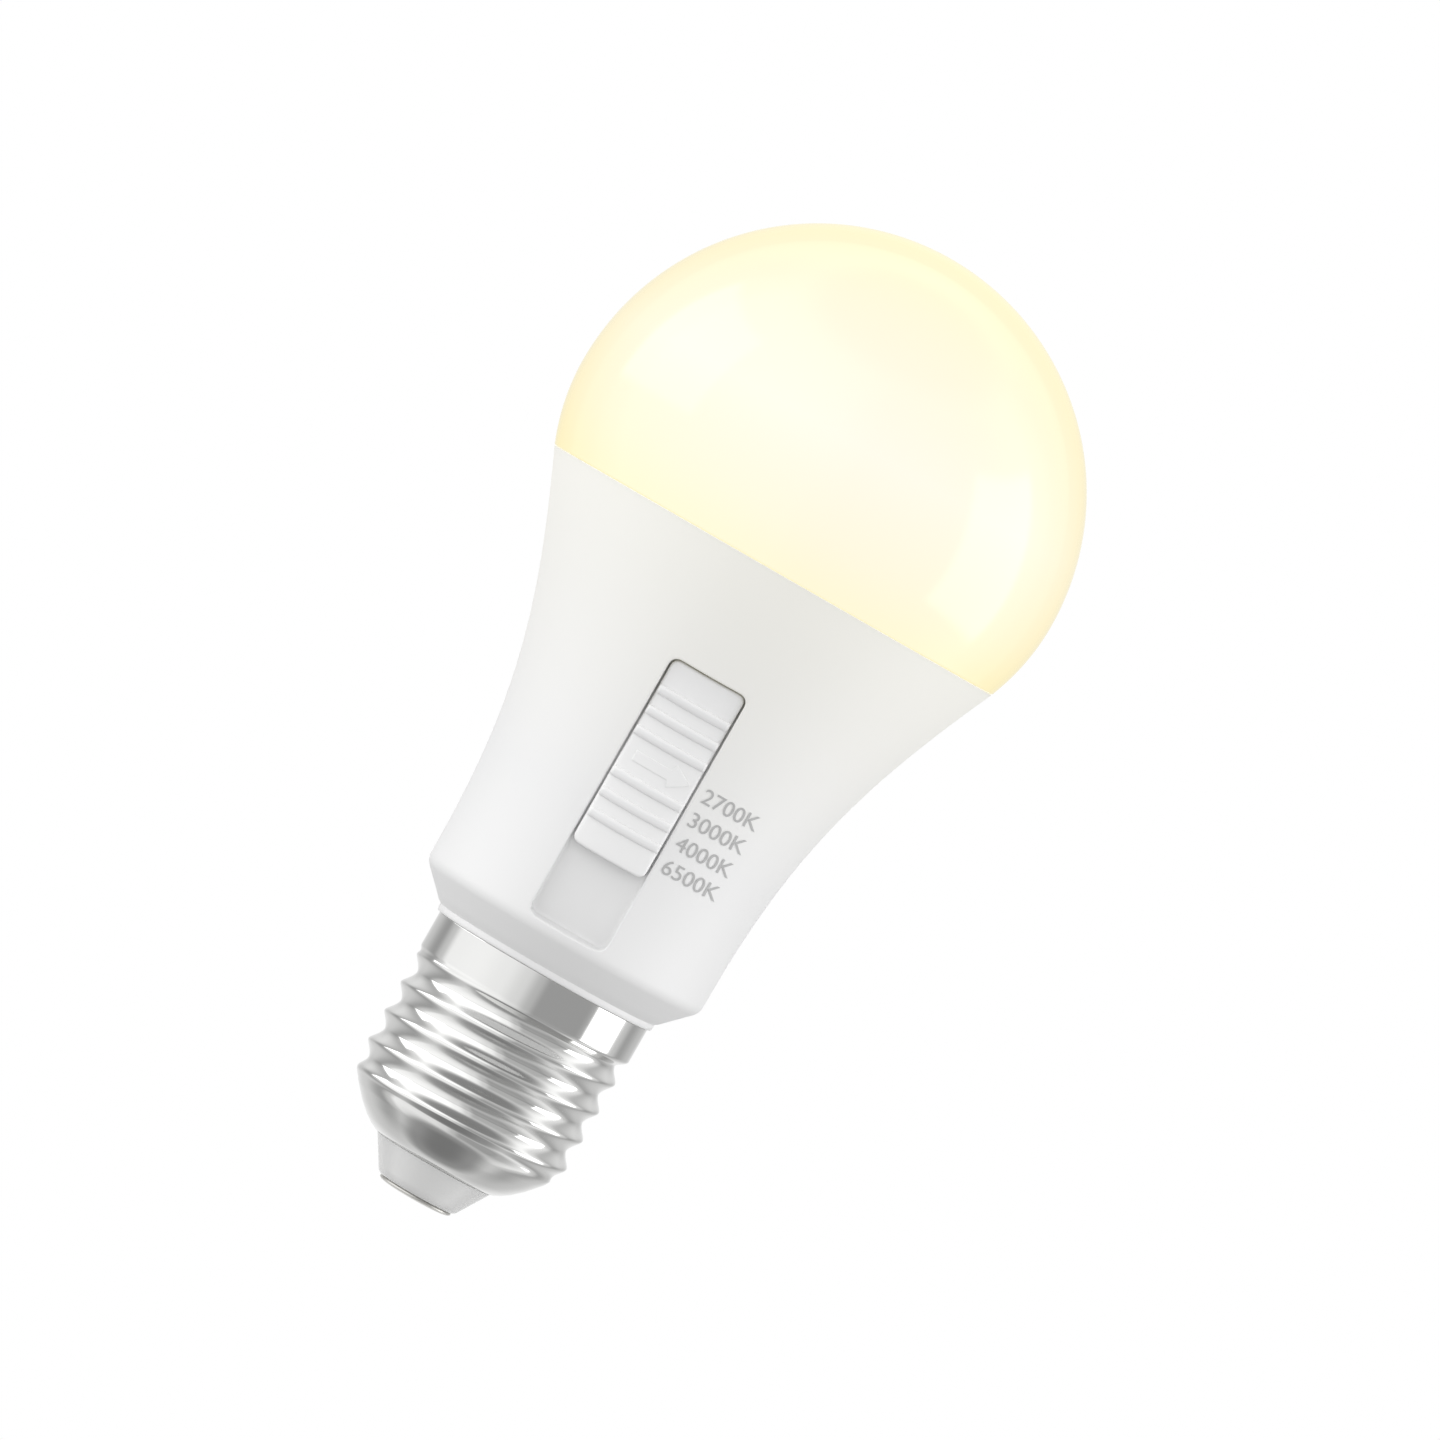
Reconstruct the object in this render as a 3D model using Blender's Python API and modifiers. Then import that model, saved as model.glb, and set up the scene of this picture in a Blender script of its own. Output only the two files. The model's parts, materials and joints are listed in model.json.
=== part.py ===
"""Screw-cap light bulb with a colour-temperature selector that slides on its housing.

The bulb stands on +Z. The origin is the middle of the centre contact's flat end,
and the selector faces -Y. Run it in Blender: blender --background --python part.py
"""

import math

import bmesh
import bpy
from mathutils import Vector

MM = 0.001
FULL_TURN = 2 * math.pi

# Clearances and mesh fineness
GAP = 0.3 * MM  # between two pieces that touch on the real object
WIRE_GAP = 0.4 * MM
SEGMENTS = 36
SMALL_SEGMENTS = 20
MERGE = 0.00001
SMOOTH_ANGLE = math.radians(35)

# Diffuser dome: a half ball above its widest circle, half an ellipsoid below it
DOME_RADIUS = 30.0 * MM
DOME_LOWER_HALF = 27.7 * MM
DOME_WALL = 1.2 * MM
SPIGOT_DEPTH = 3.0 * MM
CROWN_STEPS = 9
SKIRT_STEPS = 3
SPIGOT_STEPS = 2

# Housing, from the screw cap up to the dome
LIP_Z = 29.3 * MM
LIP_RADIUS = 13.7 * MM
LIP_HEIGHT = 0.85 * MM
CONE_STEP = 0.35 * MM
NECK_STRAIGHT = 0.55 * MM  # between the neck's round corner and the start of the flare
NECK_RADIUS = 17.45 * MM
NECK_ROUND = 2.0 * MM
NECK_PULL = 18.9 * MM
FLARE_HEIGHT = 45.7 * MM
SEAM_TILT = math.radians(24.7)
SEAM_PULL = 17.9 * MM
SEAM_TO_EQUATOR = 9.7 * MM
HOUSING_WALL = 1.6 * MM
SHOULDER_WEB = 0.6 * MM
FLARE_STEPS = 10
SINK_STEPS = 6

# Screw cap: Edison screw of 27 mm
CAP_SHEET = 0.35 * MM
COLLAR_RADIUS = 13.3 * MM
THREAD_CREST_RADIUS = 13.2 * MM
THREAD_DEPTH = 1.05 * MM
THREAD_PITCH = 3.629 * MM
THREAD_PHASE = 7.6 * MM
THREAD_TOP_Z = 24.9 * MM
THREAD_BOTTOM_Z = 9.3 * MM
THREAD_RUN_OUT = 1.5 * MM
ROWS_PER_PITCH = 5
BOWL_RADIUS = 12.4 * MM
BOWL_ROUND = 13.0 * MM
BOWL_STEPS = 4
CAP_MOUTH_RADIUS = 7.3 * MM
CAP_MOUTH_Z = 4.6 * MM

# Neck spigot of the housing, inside the cap
NECK_SPIGOT_WALL = 1.4 * MM
NECK_SPIGOT_END_Z = 11.0 * MM

# Insulator and centre contact
INSULATOR_RADIUS = 7.1 * MM
INSULATOR_END_RADIUS = 4.8 * MM
INSULATOR_PLUG_RADIUS = 6.4 * MM
INSULATOR_PLUG_TOP_Z = 7.4 * MM
CONTACT_RADIUS = 4.5 * MM
CONTACT_HEIGHT = 0.6 * MM
CONTACT_FLAT_RADIUS = 2.0 * MM
RIVET_RADIUS = 1.1 * MM
RIVET_TOP_Z = 8.6 * MM

# Heat sink cup, light board and what is on it
SINK_WALL = 1.0 * MM
SINK_PLATE = 1.2 * MM
SINK_RISE = 5.0 * MM
SEAL_HEIGHT = 1.0 * MM
SEAL_WIDTH = 1.6 * MM
LIGHT_BOARD_THICKNESS = 1.0 * MM
LED_COUNT = 12
LED_EDGE = 8.2 * MM  # from the light board's edge in to the ring of chips
LED_SIZE = (2.8 * MM, 3.5 * MM, 0.8 * MM)
SCREW_EDGE = 3.7 * MM  # from the light board's edge in to its screws
SCREW_SHANK_RADIUS = 1.1 * MM
SCREW_HEAD_RADIUS = 2.0 * MM
SCREW_HEAD_HEIGHT = 1.2 * MM
SCREW_SLOT = (0.7 * MM, 0.6 * MM)
SCREW_LENGTH = 4.5 * MM

# Driver board: a tongue in the neck and a wider head in the cup
DRIVER_THICKNESS = 1.2 * MM
DRIVER_BOTTOM_Z = 13.0 * MM
DRIVER_SIDE_CLEARANCE = 1.6 * MM
DRIVER_HEAD_RISE = 3.0 * MM
DRIVER_TOP_CLEARANCE = 5.0 * MM

# Components on the driver board
BULK_CAN = (4.0 * MM, 15.0 * MM)
FUSIBLE_RESISTOR = (1.6 * MM, 8.0 * MM)
FILM_CAPACITOR = (9.0 * MM, 5.0 * MM, 8.0 * MM)
VARISTOR = (3.5 * MM, 3.2 * MM)
INDUCTOR_FLANGE_RADIUS = 3.8 * MM
INDUCTOR_WINDING_RADIUS = 3.3 * MM
INDUCTOR_HEIGHT = 8.0 * MM
INDUCTOR_FLANGE = 1.0 * MM
TRANSFORMER = (12.0 * MM, 6.0 * MM, 11.0 * MM)
TRANSFORMER_LEG = 2.0 * MM
TRANSFORMER_MIDDLE_LEG = 3.0 * MM
TRANSFORMER_WINDING_BULGE = 1.0 * MM
RECTIFIER = (4.8 * MM, 1.6 * MM, 4.0 * MM)
DRIVER_CHIP = (5.0 * MM, 1.5 * MM, 4.0 * MM)
COMPONENT_EDGE = 1.8 * MM  # from the driver board's edge in to the components
SHELF_RISE = 1.5 * MM

# Pins that feed the light board, and their socket
PIN_RADIUS = 0.4 * MM
PIN_PITCH = 2.5 * MM
PIN_OFFSET_Y = -1.5 * MM
PIN_FOOT = 9.0 * MM
PIN_TAIL = 2.4 * MM
PIN_COUNT = 3
SOCKET_SIZE = (9.0 * MM, 4.0 * MM, 3.0 * MM)

# Radio module, which stands through the light board into the dome
RADIO_BOARD = (12.0 * MM, 0.8 * MM, 25.0 * MM)
RADIO_STAND_PROUD = 7.5 * MM
RADIO_OFFSET_Y = 3.6 * MM
RADIO_SHIELD = (9.6 * MM, 1.8 * MM, 9.0 * MM)
RADIO_HEADER_HEIGHT = 3.0 * MM

# Colour-temperature selector
TRACK_RISE = 15.9 * MM
TRAVEL = 9.0 * MM
BUTTON_WIDTH = 9.05 * MM
BUTTON_LENGTH = 23.3 * MM
BUTTON_ROUND = 0.9 * MM
BUTTON_PROUD = 0.2 * MM
BUTTON_SIDE_GAP = 0.25 * MM
FLOOR_DEPTH = 1.3 * MM
TRAY_FLOOR = 1.0 * MM
TRAY_FLANGE = 1.0 * MM
FRAME_WIDTH = 1.2 * MM
RIB_PITCH = 2.6 * MM
RIB_WIDTH = 1.05 * MM
RIB_PROUD = 0.35 * MM
RIB_LENGTH = 7.4 * MM
RIBS_PER_SIDE = 3
STEM_WIDTH = 2.4 * MM
STEM_LENGTH = 4.0 * MM
CARRIER_WIDTH = 6.0 * MM
CARRIER_LENGTH = 9.0 * MM
CARRIER_THICKNESS = 1.4 * MM
SWITCH_WALL = 1.2 * MM
SWITCH_THICKNESS = 3.2 * MM
SWITCH_BASE = 1.0 * MM
SWITCH_BOARD_WIDTH = 8.0 * MM
SWITCH_BOARD_THICKNESS = 1.0 * MM
POST_RADIUS = 1.3 * MM
POST_MARGIN = 1.8 * MM
RIBBON_WIDTH = 4.0 * MM
RIBBON_THICKNESS = 0.8 * MM
RIBBON_RISE = 6.0 * MM
RIBBON_BEND = 3.0 * MM
CARRIER_ROUND = 0.8 * MM
SOFT_EDGE = 0.3 * MM

# Wires in the cap
WIRE_RADIUS = 0.6 * MM
WIRE_POINTS = 9
LIVE_WIRE_X = 3.0 * MM
NEUTRAL_WIRE_X = -5.0 * MM
WIRE_LANDING_RISE = 4.0 * MM
WIRE_BEND = 4.0 * MM

FINISHES = {
    "milky_dome": ((0.95, 0.93, 0.83), 0.25, 0.0),
    "white_housing": ((0.86, 0.86, 0.85), 0.45, 0.0),
    "white_button": ((0.83, 0.83, 0.82), 0.40, 0.0),
    "inner_nylon": ((0.78, 0.78, 0.76), 0.50, 0.0),
    "nickel_cap": ((0.78, 0.77, 0.75), 0.18, 1.0),
    "insulator_white": ((0.80, 0.80, 0.79), 0.35, 0.0),
    "brass_contact": ((0.80, 0.78, 0.72), 0.30, 1.0),
    "drawn_aluminium": ((0.70, 0.71, 0.72), 0.38, 1.0),
    "silicone_seal": ((0.88, 0.88, 0.86), 0.65, 0.0),
    "white_mask_board": ((0.90, 0.90, 0.87), 0.40, 0.0),
    "green_board": ((0.05, 0.24, 0.11), 0.40, 0.0),
    "blue_board": ((0.04, 0.12, 0.30), 0.40, 0.0),
    "warm_phosphor": ((0.95, 0.62, 0.16), 0.35, 0.0),
    "cool_phosphor": ((0.93, 0.88, 0.42), 0.35, 0.0),
    "tinned_steel": ((0.72, 0.72, 0.73), 0.30, 1.0),
    "black_epoxy": ((0.03, 0.03, 0.03), 0.45, 0.0),
    "capacitor_sleeve": ((0.06, 0.06, 0.08), 0.35, 0.0),
    "film_yellow": ((0.75, 0.52, 0.08), 0.40, 0.0),
    "ferrite": ((0.10, 0.10, 0.11), 0.55, 0.0),
    "copper_winding": ((0.60, 0.26, 0.11), 0.35, 1.0),
    "resistor_blue": ((0.18, 0.38, 0.52), 0.40, 0.0),
    "varistor_blue": ((0.05, 0.16, 0.50), 0.40, 0.0),
    "red_wire": ((0.55, 0.05, 0.04), 0.45, 0.0),
    "blue_wire": ((0.05, 0.12, 0.45), 0.45, 0.0),
    "grey_ribbon": ((0.45, 0.45, 0.46), 0.50, 0.0),
}

# Heights and radii that follow from the sizes above
CONE_RADIUS = LIP_RADIUS + CONE_STEP
CONE_Z = LIP_Z + LIP_HEIGHT + CONE_STEP / 2
CONE_TOP_Z = CONE_Z + NECK_RADIUS - CONE_RADIUS
NECK_ROUND_REACH = NECK_ROUND * math.tan(math.pi / 8)
NECK_Z = CONE_TOP_Z + NECK_ROUND_REACH + NECK_STRAIGHT
SEAM_Z = NECK_Z + FLARE_HEIGHT
EQUATOR_Z = SEAM_Z + SEAM_TO_EQUATOR
TRACK_Z = NECK_Z + TRACK_RISE
THREAD_ROOT_RADIUS = THREAD_CREST_RADIUS - THREAD_DEPTH
NECK_SPIGOT_RADIUS = THREAD_ROOT_RADIUS - CAP_SHEET - WIRE_GAP
NECK_BORE_RADIUS = NECK_SPIGOT_RADIUS - NECK_SPIGOT_WALL
INNER_INSET = HOUSING_WALL + GAP  # from the housing's outer skin in to what fits inside its wall
SINK_TOP_Z = SEAM_Z - SPIGOT_DEPTH - SEAL_HEIGHT - 2 * GAP
SINK_BOTTOM_Z = NECK_Z + SINK_RISE
LIGHT_BOARD_Z = SINK_TOP_Z + GAP
LIGHT_BOARD_TOP_Z = LIGHT_BOARD_Z + LIGHT_BOARD_THICKNESS
DRIVER_TOP_Z = SINK_TOP_Z - SINK_PLATE - DRIVER_TOP_CLEARANCE
DRIVER_HEAD_Z = NECK_Z + DRIVER_HEAD_RISE
DRIVER_FACE_Y = DRIVER_THICKNESS / 2 + GAP
WINDOW_WIDTH = BUTTON_WIDTH + 2 * BUTTON_SIDE_GAP
WINDOW_LENGTH = BUTTON_LENGTH + TRAVEL + 2 * BUTTON_SIDE_GAP
BUTTON_UNDERSIDE = FLOOR_DEPTH - GAP
FRAME_HALF_WIDTH = WINDOW_WIDTH / 2 + FRAME_WIDTH
SLOT_LENGTH = STEM_LENGTH + TRAVEL + 2 * GAP
SWITCH_LENGTH = SLOT_LENGTH + 2 * SWITCH_WALL
SWITCH_WIDTH = STEM_WIDTH + 2 * GAP + 2 * SWITCH_WALL
POST_PLACE = SWITCH_LENGTH / 2 + GAP + POST_RADIUS + POST_MARGIN
SWITCH_BOARD_LENGTH = 2 * (POST_PLACE + POST_RADIUS + POST_MARGIN)


# Outlines and heights -------------------------------------------------------


def dome_radius_at(height, inset=0.0):
    """Radius of the dome's outer skin, or of the skin inset within it, below the crown."""
    across = DOME_RADIUS - inset
    down = DOME_LOWER_HALF - inset
    return across * math.sqrt(max(0.0, 1 - ((EQUATOR_Z - height) / down) ** 2))


def flare_point(share, inset=0.0):
    """Point of the housing's flare at a share of its length, set in along the normal."""
    lean = Vector((math.sin(SEAM_TILT), math.cos(SEAM_TILT)))
    seam = Vector((dome_radius_at(SEAM_Z), SEAM_Z))
    neck = Vector((NECK_RADIUS, NECK_Z))
    knots = (neck, neck + Vector((0, NECK_PULL)), seam - SEAM_PULL * lean, seam)
    rest = 1 - share
    weights = (rest**3, 3 * rest**2 * share, 3 * rest * share**2, share**3)
    slopes = (-(rest**2), rest * (rest - 2 * share), share * (2 * rest - share), share**2)
    place = sum((w * k for w, k in zip(weights, knots)), Vector((0, 0)))
    along = sum((s * k for s, k in zip(slopes, knots)), Vector((0, 0))).normalized()
    return place + inset * Vector((-along.y, along.x))


def flare_radius(height, inset=0.0):
    """Radius of the housing's flare at a height, set in from its outer skin."""
    low, high = 0.0, 1.0
    for _ in range(40):
        middle = (low + high) / 2
        if flare_point(middle, inset).y < height:
            low = middle
        else:
            high = middle
    return flare_point(low, inset).x


def flare_run(top, bottom, inset=0.0, steps=FLARE_STEPS):
    """Outline points down the flare between two heights."""
    heights = [top + (bottom - top) * i / steps for i in range(steps + 1)]
    return [(flare_radius(height, inset), height) for height in heights]


def crown_arc(inset=0.0):
    """Outline points from the dome's pole down to its widest circle."""
    radius = DOME_RADIUS - inset
    turns = [math.pi / 2 * i / CROWN_STEPS for i in range(CROWN_STEPS + 1)]
    points = [(radius * math.sin(a), EQUATOR_Z + radius * math.cos(a)) for a in turns]
    return [(0.0, points[0][1])] + points[1:]


def skirt_arc(bottom, inset=0.0):
    """Outline points from just under the widest circle down to a height."""
    heights = [EQUATOR_Z + (bottom - EQUATOR_Z) * i / SKIRT_STEPS for i in range(1, SKIRT_STEPS + 1)]
    return [(dome_radius_at(height, inset), height) for height in heights]


def arc_between(start, end, radius, steps):
    """Points after start on an arc that bulges to the right of the way to end."""
    start, end = Vector(start), Vector(end)
    chord = end - start
    side = Vector((-chord.y, chord.x)).normalized()
    centre = (start + end) / 2 - side * math.sqrt(radius**2 - (chord.length / 2) ** 2)
    centre = centre if chord.x > 0 else (start + end) - centre
    first = math.atan2(start.y - centre.y, start.x - centre.x)
    last = math.atan2(end.y - centre.y, end.x - centre.x)
    turns = [first + (last - first) * i / steps for i in range(1, steps + 1)]
    return [(centre.x + radius * math.cos(a), centre.y + radius * math.sin(a)) for a in turns]


def rounded_rectangle(width, length, radius=0.0, steps=4):
    """Outline of a rectangle about the origin, with round corners if it has a radius."""
    x, y = width / 2 - radius, length / 2 - radius
    if not radius:
        return [(x, y), (-x, y), (-x, -y), (x, -y)]
    outline = []
    for corner, (sx, sy) in enumerate(((1, 1), (-1, 1), (-1, -1), (1, -1))):
        for i in range(steps + 1):
            angle = math.pi / 2 * (corner + i / steps)
            outline.append((sx * x + radius * math.cos(angle), sy * y + radius * math.sin(angle)))
    return outline


def smooth_path(start, start_way, end, end_way, count=WIRE_POINTS):
    """Points on a cubic curve that leaves start along start_way and reaches end along end_way."""
    start, end = Vector(start), Vector(end)
    knots = (start, start + Vector(start_way), end - Vector(end_way), end)
    path = []
    for i in range(count):
        t = i / (count - 1)
        weights = ((1 - t) ** 3, 3 * (1 - t) ** 2 * t, 3 * (1 - t) * t**2, t**3)
        path.append(sum((w * k for w, k in zip(weights, knots)), Vector((0, 0, 0))))
    return path


# Blender objects ------------------------------------------------------------


def clear_scene():
    for obj in list(bpy.data.objects):
        bpy.data.objects.remove(obj, do_unlink=True)


def new_collection(name):
    collection = bpy.data.collections.new(name)
    bpy.context.scene.collection.children.link(collection)
    return collection


def finish_material(name):
    """The Principled material of one finish, made the first time it is asked for."""
    if name in bpy.data.materials:
        return bpy.data.materials[name]
    colour, roughness, metallic = FINISHES[name]
    material = bpy.data.materials.new(name)
    material.use_nodes = True
    shader = material.node_tree.nodes["Principled BSDF"]
    shader.inputs["Base Color"].default_value = (*colour, 1.0)
    shader.inputs["Roughness"].default_value = roughness
    shader.inputs["Metallic"].default_value = metallic
    if name == "milky_dome":
        shader.inputs["Emission Color"].default_value = (1.0, 0.90, 0.66, 1.0)
        shader.inputs["Emission Strength"].default_value = 1.0
    return material


def add_object(name, data, finish, place=(0, 0, 0), parent=None):
    """Links an object: a part when it has a finish, and a cutter when it has none."""
    obj = bpy.data.objects.new(name, data)
    if finish:
        PARTS.objects.link(obj)
        data.materials.append(finish_material(finish))
    else:
        CUTTERS.objects.link(obj)
        obj.hide_render = True
        obj.display_type = "WIRE"
    obj.location = place
    obj.parent = parent
    return obj


def add_empty(name, place, turn=(0, 0, 0), parent=None):
    empty = bpy.data.objects.new(name, None)
    PARTS.objects.link(empty)
    empty.location = place
    empty.rotation_euler = turn
    empty.parent = parent
    return empty


def turned(name, outline, finish, on_axis=False, segments=SEGMENTS):
    """A solid turned about Z: the outline runs down its outer side, and closes on the axis or on itself."""
    count = len(outline)
    edges = [(i, (i + 1) % count) for i in range(count - on_axis)]
    mesh = bpy.data.meshes.new(name)
    mesh.from_pydata([(radius, 0, height) for radius, height in outline], edges, [])
    obj = add_object(name, mesh, finish)
    screw = obj.modifiers.new("Turn", "SCREW")
    screw.steps = screw.render_steps = segments
    screw.use_merge_vertices = True
    screw.merge_threshold = MERGE
    return obj


def extruded(name, outline, thickness, finish, place=(0, 0, 0), parent=None, turn=(0, 0, 0)):
    """A flat outline with thickness, centred on its plane, as a closed mesh."""
    curve = bpy.data.curves.new(name, "CURVE")
    curve.dimensions = "2D"
    curve.fill_mode = "BOTH"
    curve.extrude = thickness / 2
    spline = curve.splines.new("POLY")
    spline.points.add(len(outline) - 1)
    spline.use_cyclic_u = True
    for point, (x, y) in zip(spline.points, outline):
        point.co = (x, y, 0, 1)
    guide = bpy.data.objects.new(name + "_outline", curve)
    CUTTERS.objects.link(guide)
    mesh = bpy.data.meshes.new_from_object(guide.evaluated_get(bpy.context.evaluated_depsgraph_get()))
    bpy.data.objects.remove(guide)
    work = bmesh.new()
    work.from_mesh(mesh)
    bmesh.ops.remove_doubles(work, verts=work.verts, dist=MERGE)
    bmesh.ops.recalc_face_normals(work, faces=work.faces)
    work.to_mesh(mesh)
    work.free()
    obj = add_object(name, mesh, finish, place, parent)
    obj.rotation_euler = turn
    return obj


def box(name, size, place, finish, parent=None, edge=0.0):
    """A box of a size about its place, with its edges bevelled if it has an edge width."""
    mesh = bpy.data.meshes.new(name)
    work = bmesh.new()
    bmesh.ops.create_cube(work, size=1.0)
    bmesh.ops.scale(work, vec=size, verts=work.verts)
    work.to_mesh(mesh)
    work.free()
    obj = add_object(name, mesh, finish, place, parent)
    if edge:
        bevel = obj.modifiers.new("Edges", "BEVEL")
        bevel.width = edge
        bevel.segments = 2
        bevel.limit_method = "ANGLE"
    return obj


def cylinder(name, radius, depth, place, finish, axis="Z", parent=None, edge=0.0):
    mesh = bpy.data.meshes.new(name)
    work = bmesh.new()
    bmesh.ops.create_cone(
        work, cap_ends=True, segments=SMALL_SEGMENTS, radius1=radius, radius2=radius, depth=depth
    )
    work.to_mesh(mesh)
    work.free()
    obj = add_object(name, mesh, finish, place, parent)
    obj.rotation_euler = {"X": (0, math.pi / 2, 0), "Y": (math.pi / 2, 0, 0), "Z": (0, 0, 0)}[axis]
    if edge:
        bevel = obj.modifiers.new("Edges", "BEVEL")
        bevel.width = edge
        bevel.segments = 2
        bevel.limit_method = "ANGLE"
    return obj


def tube(name, path, radius, finish):
    """A round wire along a path of points, with closed ends."""
    curve = bpy.data.curves.new(name, "CURVE")
    curve.dimensions = "3D"
    curve.bevel_depth = radius
    curve.bevel_resolution = 2
    curve.use_fill_caps = True
    spline = curve.splines.new("POLY")
    spline.points.add(len(path) - 1)
    for point, place in zip(spline.points, path):
        point.co = (*place, 1)
    return add_object(name, curve, finish)


def boolean(target, operand, operation="DIFFERENCE"):
    modifier = target.modifiers.new(operand.name, "BOOLEAN")
    modifier.operation = operation
    modifier.object = operand
    modifier.solver = "EXACT"


def shade_round_parts():
    for obj in PARTS.objects:
        if obj.type == "MESH":
            obj.data.shade_smooth()
            obj.data.set_sharp_from_angle(angle=SMOOTH_ANGLE)


# Dome and housing -----------------------------------------------------------


def make_diffuser_dome():
    """Milky shell with a spigot that drops inside the housing's rim."""
    shoulder = SEAM_Z + GAP / 2
    end = SEAM_Z - SPIGOT_DEPTH
    outline = crown_arc() + skirt_arc(shoulder)
    outline.append((flare_radius(SEAM_Z - GAP / 2, INNER_INSET), shoulder))
    outline += flare_run(SEAM_Z - GAP, end, INNER_INSET, SPIGOT_STEPS)
    outline += flare_run(SEAM_Z - GAP, end, INNER_INSET + DOME_WALL, SPIGOT_STEPS)[::-1]
    outline += skirt_arc(shoulder + DOME_WALL, DOME_WALL)[::-1]
    outline += crown_arc(DOME_WALL)[::-1]
    return turned("diffuser_dome", outline, "milky_dome", on_axis=True)


def make_dome_seal():
    """Bead of silicone under the dome's spigot."""
    bottom = SINK_TOP_Z + GAP
    outer = flare_radius(bottom, INNER_INSET)
    outline = rounded_rectangle(SEAL_WIDTH, SEAL_HEIGHT, SEAL_HEIGHT / 4, 1)
    centre = (outer - SEAL_WIDTH / 2, bottom + SEAL_HEIGHT / 2)
    points = [(centre[0] + x, centre[1] + z) for x, z in outline]
    return turned("dome_seal", points[::-1], "silicone_seal")


def housing_outline():
    """Outline of the housing: flare, neck, cone and lip outside, spigot, shoulder and flare inside."""
    rim = SEAM_Z - GAP / 2
    outline = flare_run(rim, NECK_Z)
    outline += neck_round()
    outline += [(CONE_RADIUS, CONE_Z), (LIP_RADIUS, LIP_Z + LIP_HEIGHT), (LIP_RADIUS, LIP_Z)]
    outline += [(NECK_SPIGOT_RADIUS, LIP_Z), (NECK_SPIGOT_RADIUS, NECK_SPIGOT_END_Z)]
    outline += [(NECK_BORE_RADIUS, NECK_SPIGOT_END_Z), (NECK_BORE_RADIUS, LIP_Z + SHOULDER_WEB)]
    inner_neck = NECK_RADIUS - HOUSING_WALL
    shoulder_z = LIP_Z + SHOULDER_WEB + inner_neck - NECK_BORE_RADIUS
    return outline + flare_run(rim, shoulder_z, HOUSING_WALL)[::-1]


def neck_round():
    """Round corner between the neck's upright wall and the cone of 45 degrees under it."""
    centre = (NECK_RADIUS - NECK_ROUND, CONE_TOP_Z + NECK_ROUND_REACH)
    turns = [-math.pi / 12 * i for i in range(4)]
    return [(centre[0] + NECK_ROUND * math.cos(a), centre[1] + NECK_ROUND * math.sin(a)) for a in turns]


def make_housing_shell(frame, flange_front):
    """Moulded housing with the selector's window and the rim that frames it inside."""
    shell = turned("housing_shell", housing_outline(), "white_housing")
    form = wall_form("housing_wall_form", HOUSING_WALL / 2, None)
    rim_depth = flange_front - GAP
    rim = prism("window_rim", 2 * FRAME_HALF_WIDTH, WINDOW_LENGTH + 2 * FRAME_WIDTH, -rim_depth, rim_depth,
                frame, None, BUTTON_ROUND + FRAME_WIDTH)
    boolean(rim, form, "INTERSECT")
    boolean(shell, rim, "UNION")
    window = prism("window_cutter", WINDOW_WIDTH, WINDOW_LENGTH, -2 * rim_depth, rim_depth, frame, None,
                   BUTTON_ROUND)
    boolean(shell, window)
    return shell


def wall_form(name, inset, finish):
    """Solid inside the housing's flare, set in from its outer skin, or out where inset is negative."""
    run = flare_run(SEAM_Z - GAP, NECK_Z, inset)
    bottom = (NECK_RADIUS - inset, LIP_Z + SHOULDER_WEB)
    outline = [(0.0, run[0][1])] + run + [bottom, (0.0, bottom[1])]
    return turned(name, outline, finish, on_axis=True)


# Heat sink and light board --------------------------------------------------


def make_heat_sink(frame):
    """Drawn aluminium cup against the housing's wall, with a plate for the light board."""
    top = flare_run(SINK_TOP_Z, SINK_BOTTOM_Z, INNER_INSET, SINK_STEPS)
    inner = flare_run(SINK_TOP_Z - SINK_PLATE, SINK_BOTTOM_Z, INNER_INSET + SINK_WALL, SINK_STEPS)
    outline = [(0.0, SINK_TOP_Z)] + top + inner[::-1] + [(0.0, SINK_TOP_Z - SINK_PLATE)]
    sink = turned("heat_sink_cup", outline, "drawn_aluminium", on_axis=True)
    length = WINDOW_LENGTH + 2 * FRAME_WIDTH + 4 * GAP
    opening = prism("sink_opening", 2 * FRAME_HALF_WIDTH + 4 * GAP, length, -SWITCH_BOARD_WIDTH, NECK_RADIUS,
                    frame, None)
    boolean(sink, opening)
    cut_light_plate(sink, "sink")
    return sink


def light_board_radius():
    return flare_radius(LIGHT_BOARD_Z, INNER_INSET) - SEAL_WIDTH - GAP


def make_light_board():
    radius = light_board_radius()
    outline = [
        (0.0, LIGHT_BOARD_TOP_Z),
        (radius, LIGHT_BOARD_TOP_Z),
        (radius, LIGHT_BOARD_Z),
        (0.0, LIGHT_BOARD_Z),
    ]
    board = turned("light_board", outline, "white_mask_board", on_axis=True)
    cut_light_plate(board, "board")
    return board


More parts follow.
